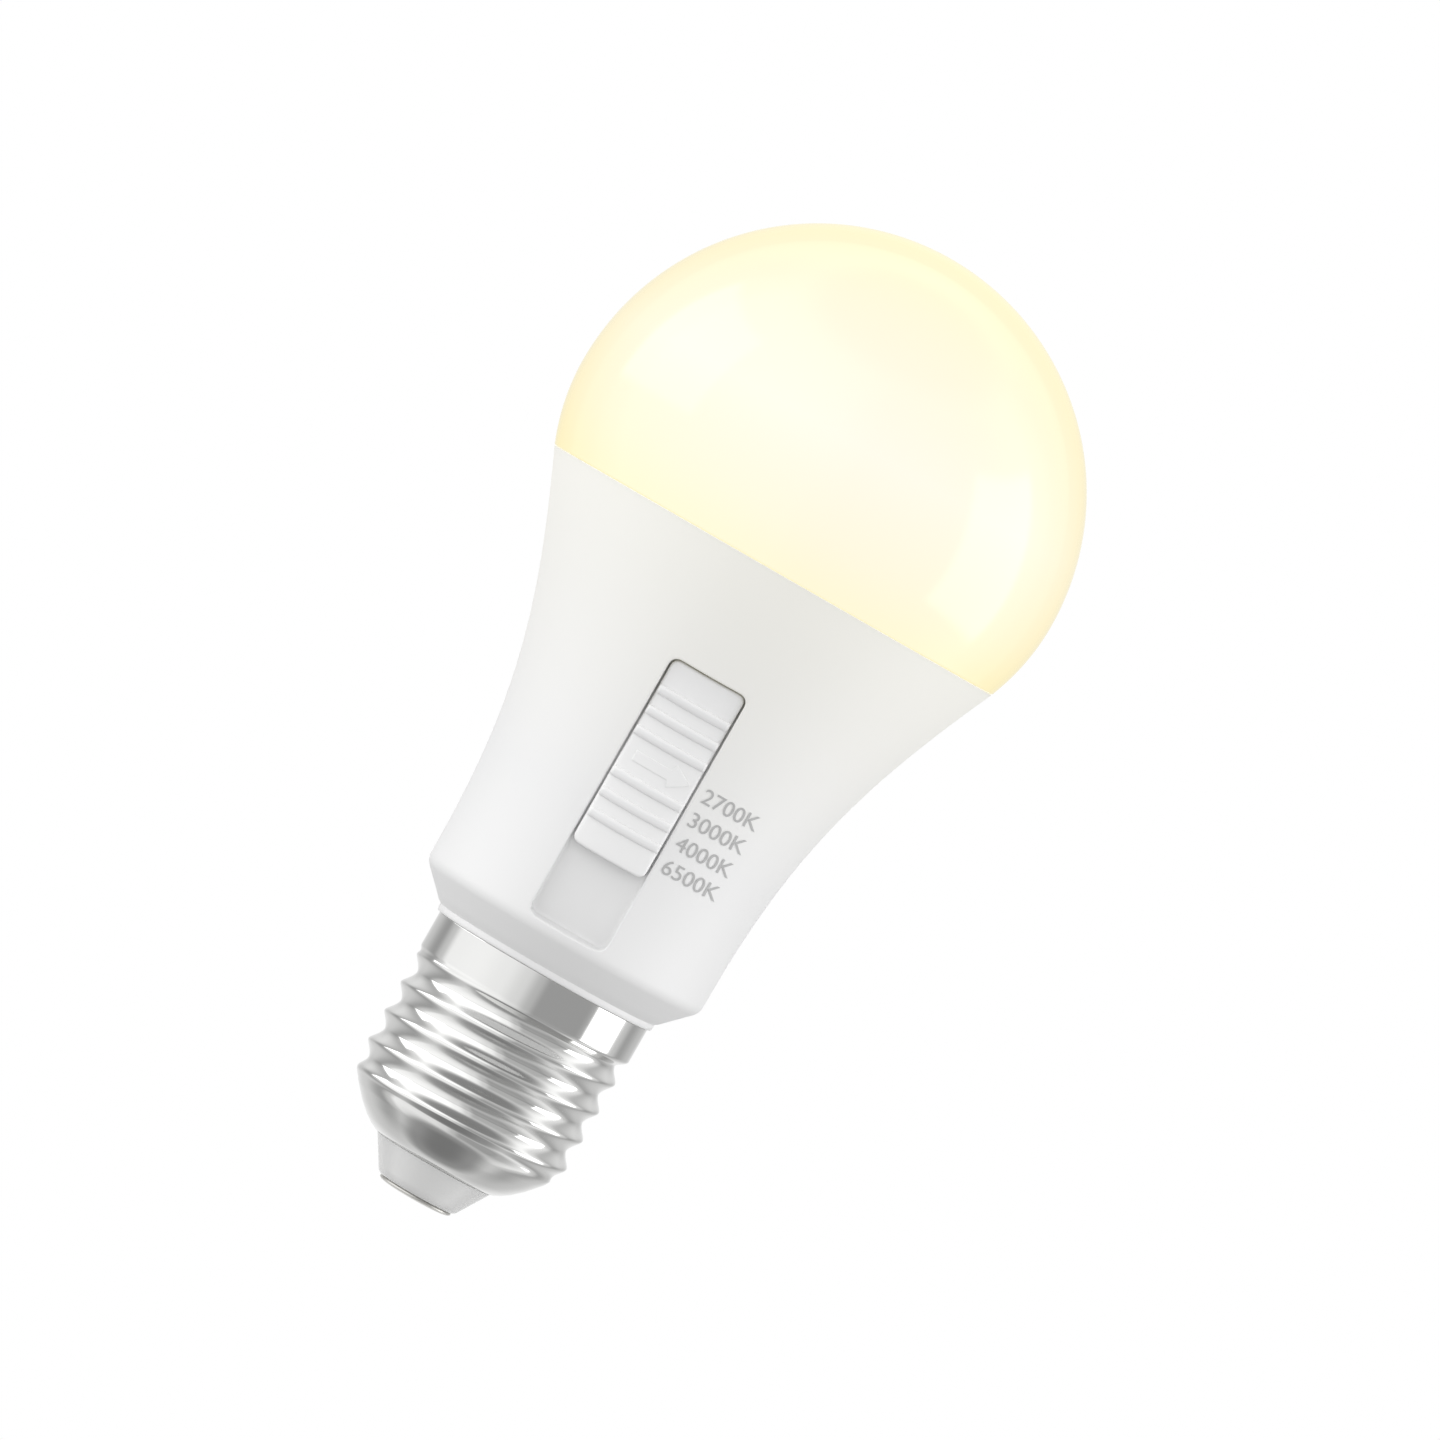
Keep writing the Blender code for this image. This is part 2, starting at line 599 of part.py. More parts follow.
def cut_light_plate(plate, name):
    """Slots for the radio module and the pins, and the two screw holes."""
    depth = 4 * SINK_PLATE
    radio = box(name + "_radio_slot", (RADIO_BOARD[0] + 2 * GAP, RADIO_BOARD[1] + 2 * GAP, depth),
                (0, RADIO_OFFSET_Y, LIGHT_BOARD_Z), None)
    boolean(plate, radio)
    row = PIN_PITCH * (PIN_COUNT - 1) + 2 * PIN_RADIUS + 4 * GAP
    pins = box(name + "_pin_slot", (row, 2 * PIN_RADIUS + 4 * GAP, depth),
               (0, PIN_OFFSET_Y, LIGHT_BOARD_Z), None)
    boolean(plate, pins)
    for side in (-1, 1):
        hole = cylinder(f"{name}_screw_hole_{side + 2}", SCREW_SHANK_RADIUS + GAP, depth,
                        (side * (light_board_radius() - SCREW_EDGE), 0, LIGHT_BOARD_Z), None)
        boolean(plate, hole)


def make_leds():
    """Ring of chips, warm and cool white in turn."""
    ring = light_board_radius() - LED_EDGE
    for index in range(LED_COUNT):
        angle = FULL_TURN * (index + 0.5) / LED_COUNT
        kind = ("warm", "cool")[index % 2]
        height = LIGHT_BOARD_TOP_Z + GAP + LED_SIZE[2] / 2
        place = (ring * math.cos(angle), ring * math.sin(angle), height)
        name = f"led_{kind}_{index // 2 + 1}"
        led = box(name, LED_SIZE, place, kind + "_phosphor", edge=LED_SIZE[2] / 5)
        led.rotation_euler = (0, 0, angle)


def make_board_screws():
    spread = light_board_radius() - SCREW_EDGE
    for number, side in enumerate((-1, 1), start=1):
        base = LIGHT_BOARD_TOP_Z + GAP
        outline = [
            (0.0, base + SCREW_HEAD_HEIGHT),
            (SCREW_HEAD_RADIUS * 0.8, base + SCREW_HEAD_HEIGHT),
            (SCREW_HEAD_RADIUS, base + SCREW_HEAD_HEIGHT * 0.6),
            (SCREW_HEAD_RADIUS, base),
            (SCREW_SHANK_RADIUS, base),
            (SCREW_SHANK_RADIUS, base - SCREW_LENGTH),
            (0.0, base - SCREW_LENGTH - SCREW_SHANK_RADIUS),
        ]
        screw = turned(f"board_screw_{number}", outline, "tinned_steel", True, SMALL_SEGMENTS)
        screw.location = (side * spread, 0, 0)
        top = base + SCREW_HEAD_HEIGHT
        slot = box(f"screw_slot_{number}", (SCREW_SLOT[0], 3 * SCREW_HEAD_RADIUS, 2 * SCREW_SLOT[1]),
                   (side * spread, 0, top), None)
        boolean(screw, slot)


def make_supply_pins():
    """Pins from the driver board through the light board, and the socket that they plug into."""
    base = LIGHT_BOARD_TOP_Z + GAP
    place = (0, PIN_OFFSET_Y, base + SOCKET_SIZE[2] / 2)
    socket = box("light_board_socket", SOCKET_SIZE, place, "inner_nylon", edge=SOFT_EDGE)
    bottom = DRIVER_TOP_Z - PIN_FOOT
    top = base + PIN_TAIL
    for index in range(PIN_COUNT):
        x = PIN_PITCH * (index - (PIN_COUNT - 1) / 2)
        depth = top - bottom
        centre = (x, PIN_OFFSET_Y, (top + bottom) / 2)
        cylinder(f"supply_pin_{index + 1}", PIN_RADIUS, depth, centre, "tinned_steel")
        hole = cylinder(f"socket_hole_{index + 1}", PIN_RADIUS + GAP, 4 * SOCKET_SIZE[2],
                        (x, PIN_OFFSET_Y, base), None)
        boolean(socket, hole)


def make_radio_module():
    """Small upright board with a shield can and a header to the driver board."""
    top = LIGHT_BOARD_TOP_Z + RADIO_STAND_PROUD
    centre_z = top - RADIO_BOARD[2] / 2
    box("radio_board", RADIO_BOARD, (0, RADIO_OFFSET_Y, centre_z), "blue_board")
    shield_y = RADIO_OFFSET_Y + RADIO_BOARD[1] / 2 + GAP + RADIO_SHIELD[1] / 2
    shield_z = SINK_TOP_Z - SINK_PLATE - RADIO_SHIELD[2] / 2 - 2 * GAP
    box("radio_shield", RADIO_SHIELD, (0, shield_y, shield_z), "tinned_steel", edge=SOFT_EDGE)
    header = RADIO_OFFSET_Y - RADIO_BOARD[1] / 2 - GAP - DRIVER_FACE_Y
    header_z = top - RADIO_BOARD[2] + RADIO_HEADER_HEIGHT
    box("radio_header", (RADIO_SHIELD[0], header, RADIO_HEADER_HEIGHT),
        (0, DRIVER_FACE_Y + header / 2, header_z), "black_epoxy")


# Driver ---------------------------------------------------------------------


def driver_head_half():
    return flare_radius(SINK_BOTTOM_Z, INNER_INSET + SINK_WALL) - DRIVER_SIDE_CLEARANCE


def make_driver_board():
    """Stepped board: a tongue in the neck's bore and a head in the cup."""
    tongue = math.sqrt((NECK_BORE_RADIUS - GAP) ** 2 - DRIVER_THICKNESS**2)
    head = driver_head_half()
    outline = [
        (head, DRIVER_TOP_Z),
        (-head, DRIVER_TOP_Z),
        (-head, DRIVER_HEAD_Z),
        (-tongue, DRIVER_HEAD_Z),
        (-tongue, DRIVER_BOTTOM_Z),
        (tongue, DRIVER_BOTTOM_Z),
        (tongue, DRIVER_HEAD_Z),
        (head, DRIVER_HEAD_Z),
    ]
    extruded("driver_board", outline, DRIVER_THICKNESS, "green_board", turn=(math.pi / 2, 0, 0))


def make_tall_components():
    """Through-hole parts on the back of the driver board, from the bottom up."""
    can_radius, can_height = BULK_CAN
    can_z = DRIVER_BOTTOM_Z + GAP + can_height / 2
    cylinder("bulk_capacitor", can_radius, can_height, (0, DRIVER_FACE_Y + can_radius, can_z),
             "capacitor_sleeve", edge=can_radius / 8)
    radius, length = FUSIBLE_RESISTOR
    resistor_z = can_z + can_height / 2 + 2 * GAP + radius
    cylinder("fusible_resistor", radius, length, (0, DRIVER_FACE_Y + radius, resistor_z), "resistor_blue",
             axis="X", edge=radius / 4)
    shelf_z = DRIVER_HEAD_Z + SHELF_RISE
    margin = driver_head_half() - COMPONENT_EDGE
    width, depth, height = FILM_CAPACITOR
    film_place = (width / 2 - margin, DRIVER_FACE_Y + depth / 2, shelf_z + height / 2)
    box("film_capacitor", FILM_CAPACITOR, film_place, "film_yellow", edge=width / 18)
    radius, thickness = VARISTOR
    varistor_place = (margin - radius, DRIVER_FACE_Y + thickness / 2, shelf_z + radius)
    cylinder("varistor", radius, thickness, varistor_place, "varistor_blue", axis="Y", edge=thickness / 4)
    make_inductor(margin, shelf_z + 2 * radius + 2 * GAP)
    make_transformer(margin, shelf_z + height + 2 * GAP)


def make_inductor(margin, bottom):
    """Drum core with its winding in one turned piece."""
    half = INDUCTOR_HEIGHT / 2
    waist = half - INDUCTOR_FLANGE
    outline = [
        (0.0, half),
        (INDUCTOR_FLANGE_RADIUS, half),
        (INDUCTOR_FLANGE_RADIUS, waist),
        (INDUCTOR_WINDING_RADIUS, waist),
        (INDUCTOR_WINDING_RADIUS, -waist),
        (INDUCTOR_FLANGE_RADIUS, -waist),
        (INDUCTOR_FLANGE_RADIUS, -half),
        (0.0, -half),
    ]
    drum = turned("power_inductor", outline, "ferrite", True, SMALL_SEGMENTS)
    drum.location = (margin - INDUCTOR_FLANGE_RADIUS, DRIVER_FACE_Y + INDUCTOR_FLANGE_RADIUS, bottom + half)


def make_transformer(margin, bottom):
    """Ferrite core with two windows, and the winding round its middle leg."""
    width, depth, height = TRANSFORMER
    window_width = (width - TRANSFORMER_MIDDLE_LEG) / 2 - TRANSFORMER_LEG
    winding_depth = depth + 2 * TRANSFORMER_WINDING_BULGE
    centre = Vector((width / 2 - margin, DRIVER_FACE_Y + winding_depth / 2, bottom + height / 2))
    core = box("transformer_core", TRANSFORMER, centre, "ferrite")
    window = (window_width, 2 * depth, height - 2 * TRANSFORMER_LEG)
    for side in (-1, 1):
        offset = Vector((side * (TRANSFORMER_MIDDLE_LEG + window_width) / 2, 0, 0))
        boolean(core, box(f"core_window_{side + 2}", window, centre + offset, None))
    outer = (TRANSFORMER_MIDDLE_LEG + 2 * window_width - 2 * GAP, winding_depth, window[2] - 2 * GAP)
    winding = box("transformer_winding", outer, centre, "copper_winding")
    bore = (TRANSFORMER_MIDDLE_LEG + 2 * GAP, depth + 2 * GAP, 2 * height)
    boolean(winding, box("winding_bore", bore, centre, None))


def make_flat_components():
    """Surface-mounted parts on the front of the driver board."""
    margin = driver_head_half() - COMPONENT_EDGE
    chips = (("bridge_rectifier", RECTIFIER, -1, 1), ("driver_chip", DRIVER_CHIP, 1, 3))
    for name, size, side, rows in chips:
        width, depth, height = size
        place = (side * (margin - width / 2), -DRIVER_FACE_Y - depth / 2, DRIVER_HEAD_Z + rows * height)
        box(name, size, place, "black_epoxy", edge=depth / 8)


# Cap ------------------------------------------------------------------------


def thread_share(height, low, high):
    """Smooth step from 0 below low to 1 above high."""
    t = min(1.0, max(0.0, (height - low) / (high - low)))
    return t * t * (3 - 2 * t)


def cap_radius(height, angle, plain):
    """Radius of the threaded sheet: the plain outline with the round thread rolled into it."""
    turns = (height - THREAD_PHASE) / THREAD_PITCH - angle / FULL_TURN
    wave = THREAD_ROOT_RADIUS + THREAD_DEPTH * (0.5 + 0.5 * math.cos(FULL_TURN * turns))
    lower = thread_share(height, THREAD_BOTTOM_Z - THREAD_RUN_OUT / 2, THREAD_BOTTOM_Z + THREAD_RUN_OUT)
    upper = 1 - thread_share(height, THREAD_TOP_Z - THREAD_RUN_OUT, THREAD_TOP_Z)
    share = lower * upper
    return wave * share + plain * (1 - share)


def make_screw_cap():
    """Thin nickel sheet: collar, rolled thread, and bowl down to the insulator."""
    top = LIP_Z - GAP
    rows = math.ceil((THREAD_TOP_Z - THREAD_BOTTOM_Z) / THREAD_PITCH * ROWS_PER_PITCH)
    outline = [(COLLAR_RADIUS, top), (COLLAR_RADIUS, (top + THREAD_TOP_Z) / 2)]
    for i in range(rows + 1):
        height = THREAD_TOP_Z + (THREAD_BOTTOM_Z - THREAD_TOP_Z) * i / rows
        outline.append((BOWL_RADIUS + (COLLAR_RADIUS - BOWL_RADIUS) * (1 - i / rows), height))
    outline += arc_between(outline[-1], (CAP_MOUTH_RADIUS, CAP_MOUTH_Z), BOWL_ROUND, BOWL_STEPS)
    sheet = turned("cap_sheet", outline, None, on_axis=True)
    mesh = bpy.data.meshes.new_from_object(sheet.evaluated_get(bpy.context.evaluated_depsgraph_get()))
    bpy.data.objects.remove(sheet)
    for vertex in mesh.vertices:
        plain = math.hypot(vertex.co.x, vertex.co.y)
        angle = math.atan2(vertex.co.y, vertex.co.x)
        share = cap_radius(vertex.co.z, angle, plain) / plain
        vertex.co.x *= share
        vertex.co.y *= share
    cap = add_object("screw_cap", mesh, "nickel_cap")
    wall = cap.modifiers.new("Sheet", "SOLIDIFY")
    wall.thickness = CAP_SHEET
    wall.offset = -1
    wall.use_even_offset = True
    return cap


def make_cap_insulator():
    """Moulded cone under the cap, with a plug inside it and a bore for the rivet."""
    bore = RIVET_RADIUS + GAP
    top = CAP_MOUTH_Z - GAP
    bottom = CONTACT_HEIGHT + GAP
    outline = [
        (INSULATOR_PLUG_RADIUS, INSULATOR_PLUG_TOP_Z),
        (INSULATOR_PLUG_RADIUS, top),
        (INSULATOR_RADIUS, top),
        (INSULATOR_END_RADIUS, bottom),
        (bore, bottom),
        (bore, INSULATOR_PLUG_TOP_Z),
    ]
    return turned("cap_insulator", outline, "insulator_white")


def make_centre_contact():
    """Domed button with a small flat end and the rivet that holds it."""
    outline = [
        (0.0, RIVET_TOP_Z),
        (RIVET_RADIUS, RIVET_TOP_Z),
        (RIVET_RADIUS, CONTACT_HEIGHT),
        (CONTACT_RADIUS, CONTACT_HEIGHT),
        (CONTACT_RADIUS * 0.96, CONTACT_HEIGHT * 0.45),
        ((CONTACT_RADIUS + CONTACT_FLAT_RADIUS) / 2, CONTACT_HEIGHT * 0.12),
        (CONTACT_FLAT_RADIUS, 0.0),
        (0.0, 0.0),
    ]
    return turned("centre_contact", outline, "brass_contact", on_axis=True)


def make_cap_wires():
    """Live wire from the rivet and neutral wire from the sheet, both to the driver board's front."""
    landing_y = -DRIVER_FACE_Y - WIRE_RADIUS
    landing_z = DRIVER_BOTTOM_Z + WIRE_LANDING_RISE
    up = (0, 0, WIRE_BEND)
    live_start = (0, 0, RIVET_TOP_Z + WIRE_GAP + WIRE_RADIUS)
    live_way = (WIRE_BEND / 2, -WIRE_BEND, 0)
    live_path = smooth_path(live_start, live_way, (LIVE_WIRE_X, landing_y, landing_z), up)
    tube("live_wire", live_path, WIRE_RADIUS, "red_wire")
    reach = math.sqrt((THREAD_ROOT_RADIUS - CAP_SHEET - 2 * WIRE_GAP) ** 2 - landing_y**2)
    neutral_start = (-reach, landing_y, NECK_SPIGOT_END_Z - WIRE_RADIUS - 2 * WIRE_GAP)
    neutral_end = (NEUTRAL_WIRE_X, landing_y, landing_z)
    neutral_path = smooth_path(neutral_start, (WIRE_BEND, 0, 0), neutral_end, up)
    tube("neutral_wire", neutral_path, WIRE_RADIUS, "blue_wire")


# Selector, in a frame whose Z leaves the housing and whose Y runs up the track ----


def prism(name, width, length, bottom, top, frame, finish, radius=0.0, along=0.0):
    """A rectangle in the track's plane, from one height over it to another."""
    middle = (0, along, (bottom + top) / 2)
    return extruded(name, rounded_rectangle(width, length, radius), top - bottom, finish, middle, frame)


def track_lean():
    """Angle of the chord that joins the ends of the track."""
    low, high = TRACK_Z - WINDOW_LENGTH / 2, TRACK_Z + WINDOW_LENGTH / 2
    rise = flare_radius(high) - flare_radius(max(low, NECK_Z))
    return math.atan2(rise, WINDOW_LENGTH)


def flange_depth():
    """Depth at which the tray's flange clears the housing's curved inner wall."""
    radius = flare_radius(TRACK_Z)
    inner = radius - HOUSING_WALL - 2 * GAP
    return radius - math.sqrt(inner**2 - FRAME_HALF_WIDTH**2)


def make_selector_tray(frame, flange_front):
    """Floor of the recess with its slot, a channel for the carrier, side flanges and two posts."""
    flange_back = flange_front + TRAY_FLANGE
    tray = prism("selector_tray", WINDOW_WIDTH - 2 * GAP, WINDOW_LENGTH - 2 * GAP, -flange_back, -FLOOR_DEPTH,
                 frame, "inner_nylon", BUTTON_ROUND)
    flange_length = SWITCH_BOARD_LENGTH - 2 * POST_MARGIN
    flange = prism("tray_flange", 2 * FRAME_HALF_WIDTH, flange_length, -flange_back, -flange_front,
                   frame, None)
    boolean(tray, flange, "UNION")
    board_front = flange_back + GAP + SWITCH_THICKNESS + GAP
    for number, side in enumerate((-1, 1), start=1):
        top, bottom = -flange_back + TRAY_FLANGE / 2, GAP - board_front
        post = cylinder(f"tray_post_{number}", POST_RADIUS, top - bottom,
                        (0, side * POST_PLACE, (top + bottom) / 2), None, parent=frame)
        boolean(tray, post, "UNION")
    channel_length = CARRIER_LENGTH + TRAVEL + 2 * GAP
    channel = prism("carrier_channel", CARRIER_WIDTH + 2 * GAP, channel_length, -2 * flange_back,
                    -FLOOR_DEPTH - TRAY_FLOOR, frame, None)
    boolean(tray, channel)
    slot = prism("stem_slot", STEM_WIDTH + 2 * GAP, SLOT_LENGTH, -2 * flange_back, FLOOR_DEPTH, frame, None)
    boolean(tray, slot)
    return tray


def make_selector_button(slider):
    """Sliding cap whose face follows the housing's wall, with grip ribs and a stem."""
    reach = DOME_RADIUS / 2
    button = prism("selector_button", BUTTON_WIDTH, BUTTON_LENGTH, -BUTTON_UNDERSIDE, reach, slider,
                   "white_button", BUTTON_ROUND)
    boolean(button, wall_form("button_face_form", -BUTTON_PROUD, None), "INTERSECT")
    ribs = wall_form("rib_form", -BUTTON_PROUD - RIB_PROUD, None)
    for index in range(-RIBS_PER_SIDE, RIBS_PER_SIDE + 1):
        if index:
            bar = prism(f"rib_bar_{index + RIBS_PER_SIDE}", RIB_LENGTH, RIB_WIDTH,
                        -BUTTON_UNDERSIDE / 2, reach, slider, None, along=index * RIB_PITCH)
            boolean(bar, ribs, "INTERSECT")
            boolean(button, bar, "UNION")
    carrier_front = FLOOR_DEPTH + TRAY_FLOOR + GAP
    stem_end = carrier_front + CARRIER_THICKNESS / 2 - GAP / 2
    stem = prism("button_stem", STEM_WIDTH, STEM_LENGTH, -stem_end, -BUTTON_UNDERSIDE / 2, slider, None)
    boolean(button, stem, "UNION")
    return button


def make_selector_carrier(slider):
    """Slider behind the tray's floor that the button's stem snaps into."""
    front = FLOOR_DEPTH + TRAY_FLOOR + GAP
    back = front + CARRIER_THICKNESS
    carrier = prism("selector_carrier", CARRIER_WIDTH, CARRIER_LENGTH, -back, -front, slider, "inner_nylon",
                    CARRIER_ROUND)
    hole = prism("carrier_hole", STEM_WIDTH + 2 * GAP, STEM_LENGTH + 2 * GAP, -2 * back, front, slider, None)
    boolean(carrier, hole)
    return back


def make_switch(frame, slider, flange_front):
    """Slide switch with its lever, on a small board held by the tray's posts."""
    front = flange_front + TRAY_FLANGE + GAP
    back = front + SWITCH_THICKNESS
    body = prism("switch_body", SWITCH_WIDTH, SWITCH_LENGTH, -back, -front, frame, "black_epoxy")
    track = prism("lever_track", STEM_WIDTH + 2 * GAP, SLOT_LENGTH, -back + SWITCH_BASE, 0, frame, None)
    boolean(body, track)
    stem_end = FLOOR_DEPTH + TRAY_FLOOR + GAP + CARRIER_THICKNESS / 2 - GAP / 2
    prism("switch_lever", STEM_WIDTH, STEM_LENGTH, -back + SWITCH_BASE + GAP, -stem_end - GAP, slider,
          "inner_nylon")
    board_back = back + GAP + SWITCH_BOARD_THICKNESS
    prism("switch_board", SWITCH_BOARD_WIDTH, SWITCH_BOARD_LENGTH, -board_back, -back - GAP,
          frame, "green_board")
    return board_back


def make_switch_ribbon(frame, board_back):
    """Flat cable from the back of the switch board to the front of the driver board."""
    start = frame.matrix_world @ Vector((0, 0, -board_back - WIRE_GAP - RIBBON_THICKNESS / 2))
    end = Vector((0, -DRIVER_FACE_Y - WIRE_GAP, start.z + RIBBON_RISE))
    away = frame.matrix_world.to_3x3() @ Vector((0, 0, -RIBBON_BEND))
    path = smooth_path(start, away, end, (0, RIBBON_BEND, 0))
    mesh = bpy.data.meshes.new("switch_ribbon")
    work = bmesh.new()
    edge = [work.verts.new((-RIBBON_WIDTH / 2, p.y, p.z)) for p in path]
    rails = [work.edges.new(pair) for pair in zip(edge, edge[1:])]
    grown = bmesh.ops.extrude_edge_only(work, edges=rails)["geom"]
    far = [item for item in grown if isinstance(item, bmesh.types.BMVert)]
    bmesh.ops.translate(work, vec=(RIBBON_WIDTH, 0, 0), verts=far)
    work.to_mesh(mesh)
    work.free()
    ribbon = add_object("switch_ribbon", mesh, "grey_ribbon")
    wall = ribbon.modifiers.new("Thickness", "SOLIDIFY")
    wall.thickness = RIBBON_THICKNESS
    wall.offset = 0


def make_selector(frame, slider, flange_front):
    make_selector_tray(frame, flange_front)
    make_selector_button(slider)
    make_selector_carrier(slider)
    board_back = make_switch(frame, slider, flange_front)
    make_switch_ribbon(frame, board_back)


def make_bulb():
    frame_turn = (math.pi / 2 + track_lean(), 0, 0)
    frame = add_empty("selector_frame", (0, -flare_radius(TRACK_Z), TRACK_Z), frame_turn)
    slider = add_empty("selector_slide_joint", (0, TRAVEL / 2, 0), parent=frame)
    bpy.context.view_layer.update()
    flange_front = flange_depth()
    make_diffuser_dome()
    make_dome_seal()
    make_housing_shell(frame, flange_front)
    make_heat_sink(frame)
    make_light_board()
    make_leds()
    make_board_screws()
    make_supply_pins()
    make_radio_module()
    make_driver_board()
    make_tall_components()
    make_flat_components()
    make_screw_cap()
    make_cap_insulator()
    make_centre_contact()
    make_cap_wires()
    make_selector(frame, slider, flange_front)
    shade_round_parts()


clear_scene()
PARTS = new_collection("smart_light_bulb")
CUTTERS = new_collection("cutters")
make_bulb()
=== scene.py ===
# Screw-cap lamp with a colour-temperature selector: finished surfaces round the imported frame.
import json
import math

import bpy
import numpy as np
from mathutils import Matrix, Vector


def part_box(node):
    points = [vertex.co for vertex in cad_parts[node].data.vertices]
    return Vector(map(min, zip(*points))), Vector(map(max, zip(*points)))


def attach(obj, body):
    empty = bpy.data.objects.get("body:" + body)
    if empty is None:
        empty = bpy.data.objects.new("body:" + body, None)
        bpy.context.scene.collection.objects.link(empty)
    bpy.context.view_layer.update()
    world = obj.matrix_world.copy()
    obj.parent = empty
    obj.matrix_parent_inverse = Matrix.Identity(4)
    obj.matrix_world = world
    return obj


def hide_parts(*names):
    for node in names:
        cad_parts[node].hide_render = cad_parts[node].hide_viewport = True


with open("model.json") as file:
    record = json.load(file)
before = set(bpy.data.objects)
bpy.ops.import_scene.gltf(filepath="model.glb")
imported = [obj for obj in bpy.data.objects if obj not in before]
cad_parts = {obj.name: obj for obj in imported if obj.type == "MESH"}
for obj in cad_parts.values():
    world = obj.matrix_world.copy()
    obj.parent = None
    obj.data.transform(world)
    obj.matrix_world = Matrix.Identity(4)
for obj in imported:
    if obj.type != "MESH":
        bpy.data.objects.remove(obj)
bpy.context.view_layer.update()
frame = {"nodes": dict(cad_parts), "record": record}

mm = 0.001
tiny = 0.01 * mm
weldReach = 0.002 * mm
fineWeld = 0.0005 * mm
fullTurn = 2 * math.pi
nodes = frame["nodes"]


# Working with operators

def chooseOnly(obj):
    if bpy.context.mode != "OBJECT":
        bpy.ops.object.mode_set(mode="OBJECT")
    bpy.ops.object.select_all(action="DESELECT")
    obj.select_set(True)
    bpy.context.view_layer.objects.active = obj


def editAll(obj, mode="VERT"):
    chooseOnly(obj)
    bpy.ops.object.mode_set(mode="EDIT")
    bpy.ops.mesh.select_mode(type=mode)
    bpy.ops.mesh.select_all(action="SELECT")


def leaveEdit():
    bpy.ops.object.mode_set(mode="OBJECT")


# Deletes the faces whose centre passes the test
def deleteFaces(obj, test):
    editAll(obj, "FACE")
    bpy.ops.mesh.select_all(action="DESELECT")
    leaveEdit()
    for face in obj.data.polygons:
        face.select = test(face.center)
    bpy.ops.object.mode_set(mode="EDIT")
    bpy.ops.mesh.delete(type="FACE")
    leaveEdit()


# Gives a flat plate a thickness below it, and turns its normals outwards
def thicken(obj, depth):
    editAll(obj, "FACE")
    bpy.ops.mesh.extrude_region_move(TRANSFORM_OT_translate={"value": (0, 0, -depth)})
    bpy.ops.mesh.select_all(action="SELECT")
    bpy.ops.mesh.normals_make_consistent(inside=False)
    leaveEdit()


# Joins the other pieces into the first
def joinPieces(obj, *others):
    chooseOnly(obj)
    for other in others:
        other.select_set(True)
    bpy.ops.object.join()


def newPiece(name):
    obj = bpy.context.active_object
    obj.name = name
    obj.data.name = name
    return obj


def mendMesh(obj, reach=weldReach):
    editAll(obj)
    bpy.ops.mesh.remove_doubles(threshold=reach)
    bpy.ops.mesh.normals_make_consistent(inside=False)
    leaveEdit()


def smooth(obj, degrees=35):
    chooseOnly(obj)
    bpy.ops.object.shade_smooth_by_angle(angle=math.radians(degrees))


def applyModifier(obj, kind, **settings):
    chooseOnly(obj)
    modifier = obj.modifiers.new(kind.title(), kind)
    for key, value in settings.items():
        setattr(modifier, key, value)
    bpy.ops.object.modifier_apply(modifier=modifier.name)


# An outline of (radius, height) points, extruded point by point and spun about Z
def turnedPiece(name, outline, steps, closed=False):
    bpy.ops.mesh.primitive_plane_add(size=mm, location=(0, 0, 0))
    obj = newPiece(name)
    editAll(obj)
    bpy.ops.mesh.merge(type="CENTER")
    bpy.ops.transform.translate(value=(outline[0][0], 0, outline[0][1]))
    ring = outline[1:] + outline[:1] * closed
    for before, after in zip(outline, ring):
        step = (after[0] - before[0], 0, after[1] - before[1])
        bpy.ops.mesh.extrude_vertices_move(TRANSFORM_OT_translate={"value": step})
    bpy.ops.mesh.select_all(action="SELECT")
    bpy.ops.mesh.spin(steps=steps, angle=fullTurn, center=(0, 0, 0), axis=(0, 0, 1))
    leaveEdit()
    mendMesh(obj)
    return obj


# A flat grid whose lines stand at the given places across and along
def gridPiece(name, columns, rows):
    across, along = len(columns) - 1, len(rows) - 1
    bpy.ops.mesh.primitive_grid_add(x_subdivisions=across, y_subdivisions=along, size=2)
    obj = newPiece(name)
    for vertex in obj.data.vertices:
        column = round((vertex.co.x + 1) / 2 * across)
        row = round((vertex.co.y + 1) / 2 * along)
        vertex.co = (columns[column], rows[row], 0)
    return obj


# Evenly spaced places from start, without end
def spread(start, end, count):
    return [start + (end - start) * i / count for i in range(count)]


# Places from the middle outwards, repeated on the other side
def mirrored(places):
    return [-place for place in reversed(places) if place > 0] + list(places)


# Outlines that the pieces share, from the frame and a few driving sizes

body = {
    "domeLowerHalf": 27.7 * mm,
    "seamTilt": math.radians(24.7),
    "seamPull": 17.9 * mm,
    "neckPull": 18.9 * mm,
    "neckRound": 2.0 * mm,
    "neckStraight": 0.55 * mm,
    "lipRadius": 13.7 * mm,
    "lipHeight": 0.85 * mm,
    "coneStep": 0.35 * mm,
    "neckRadius": 17.45 * mm,
    "wall": 1.6 * mm,
    "gap": 0.3 * mm,
    "flareSteps": 600,
    "cornerSteps": 10,
}

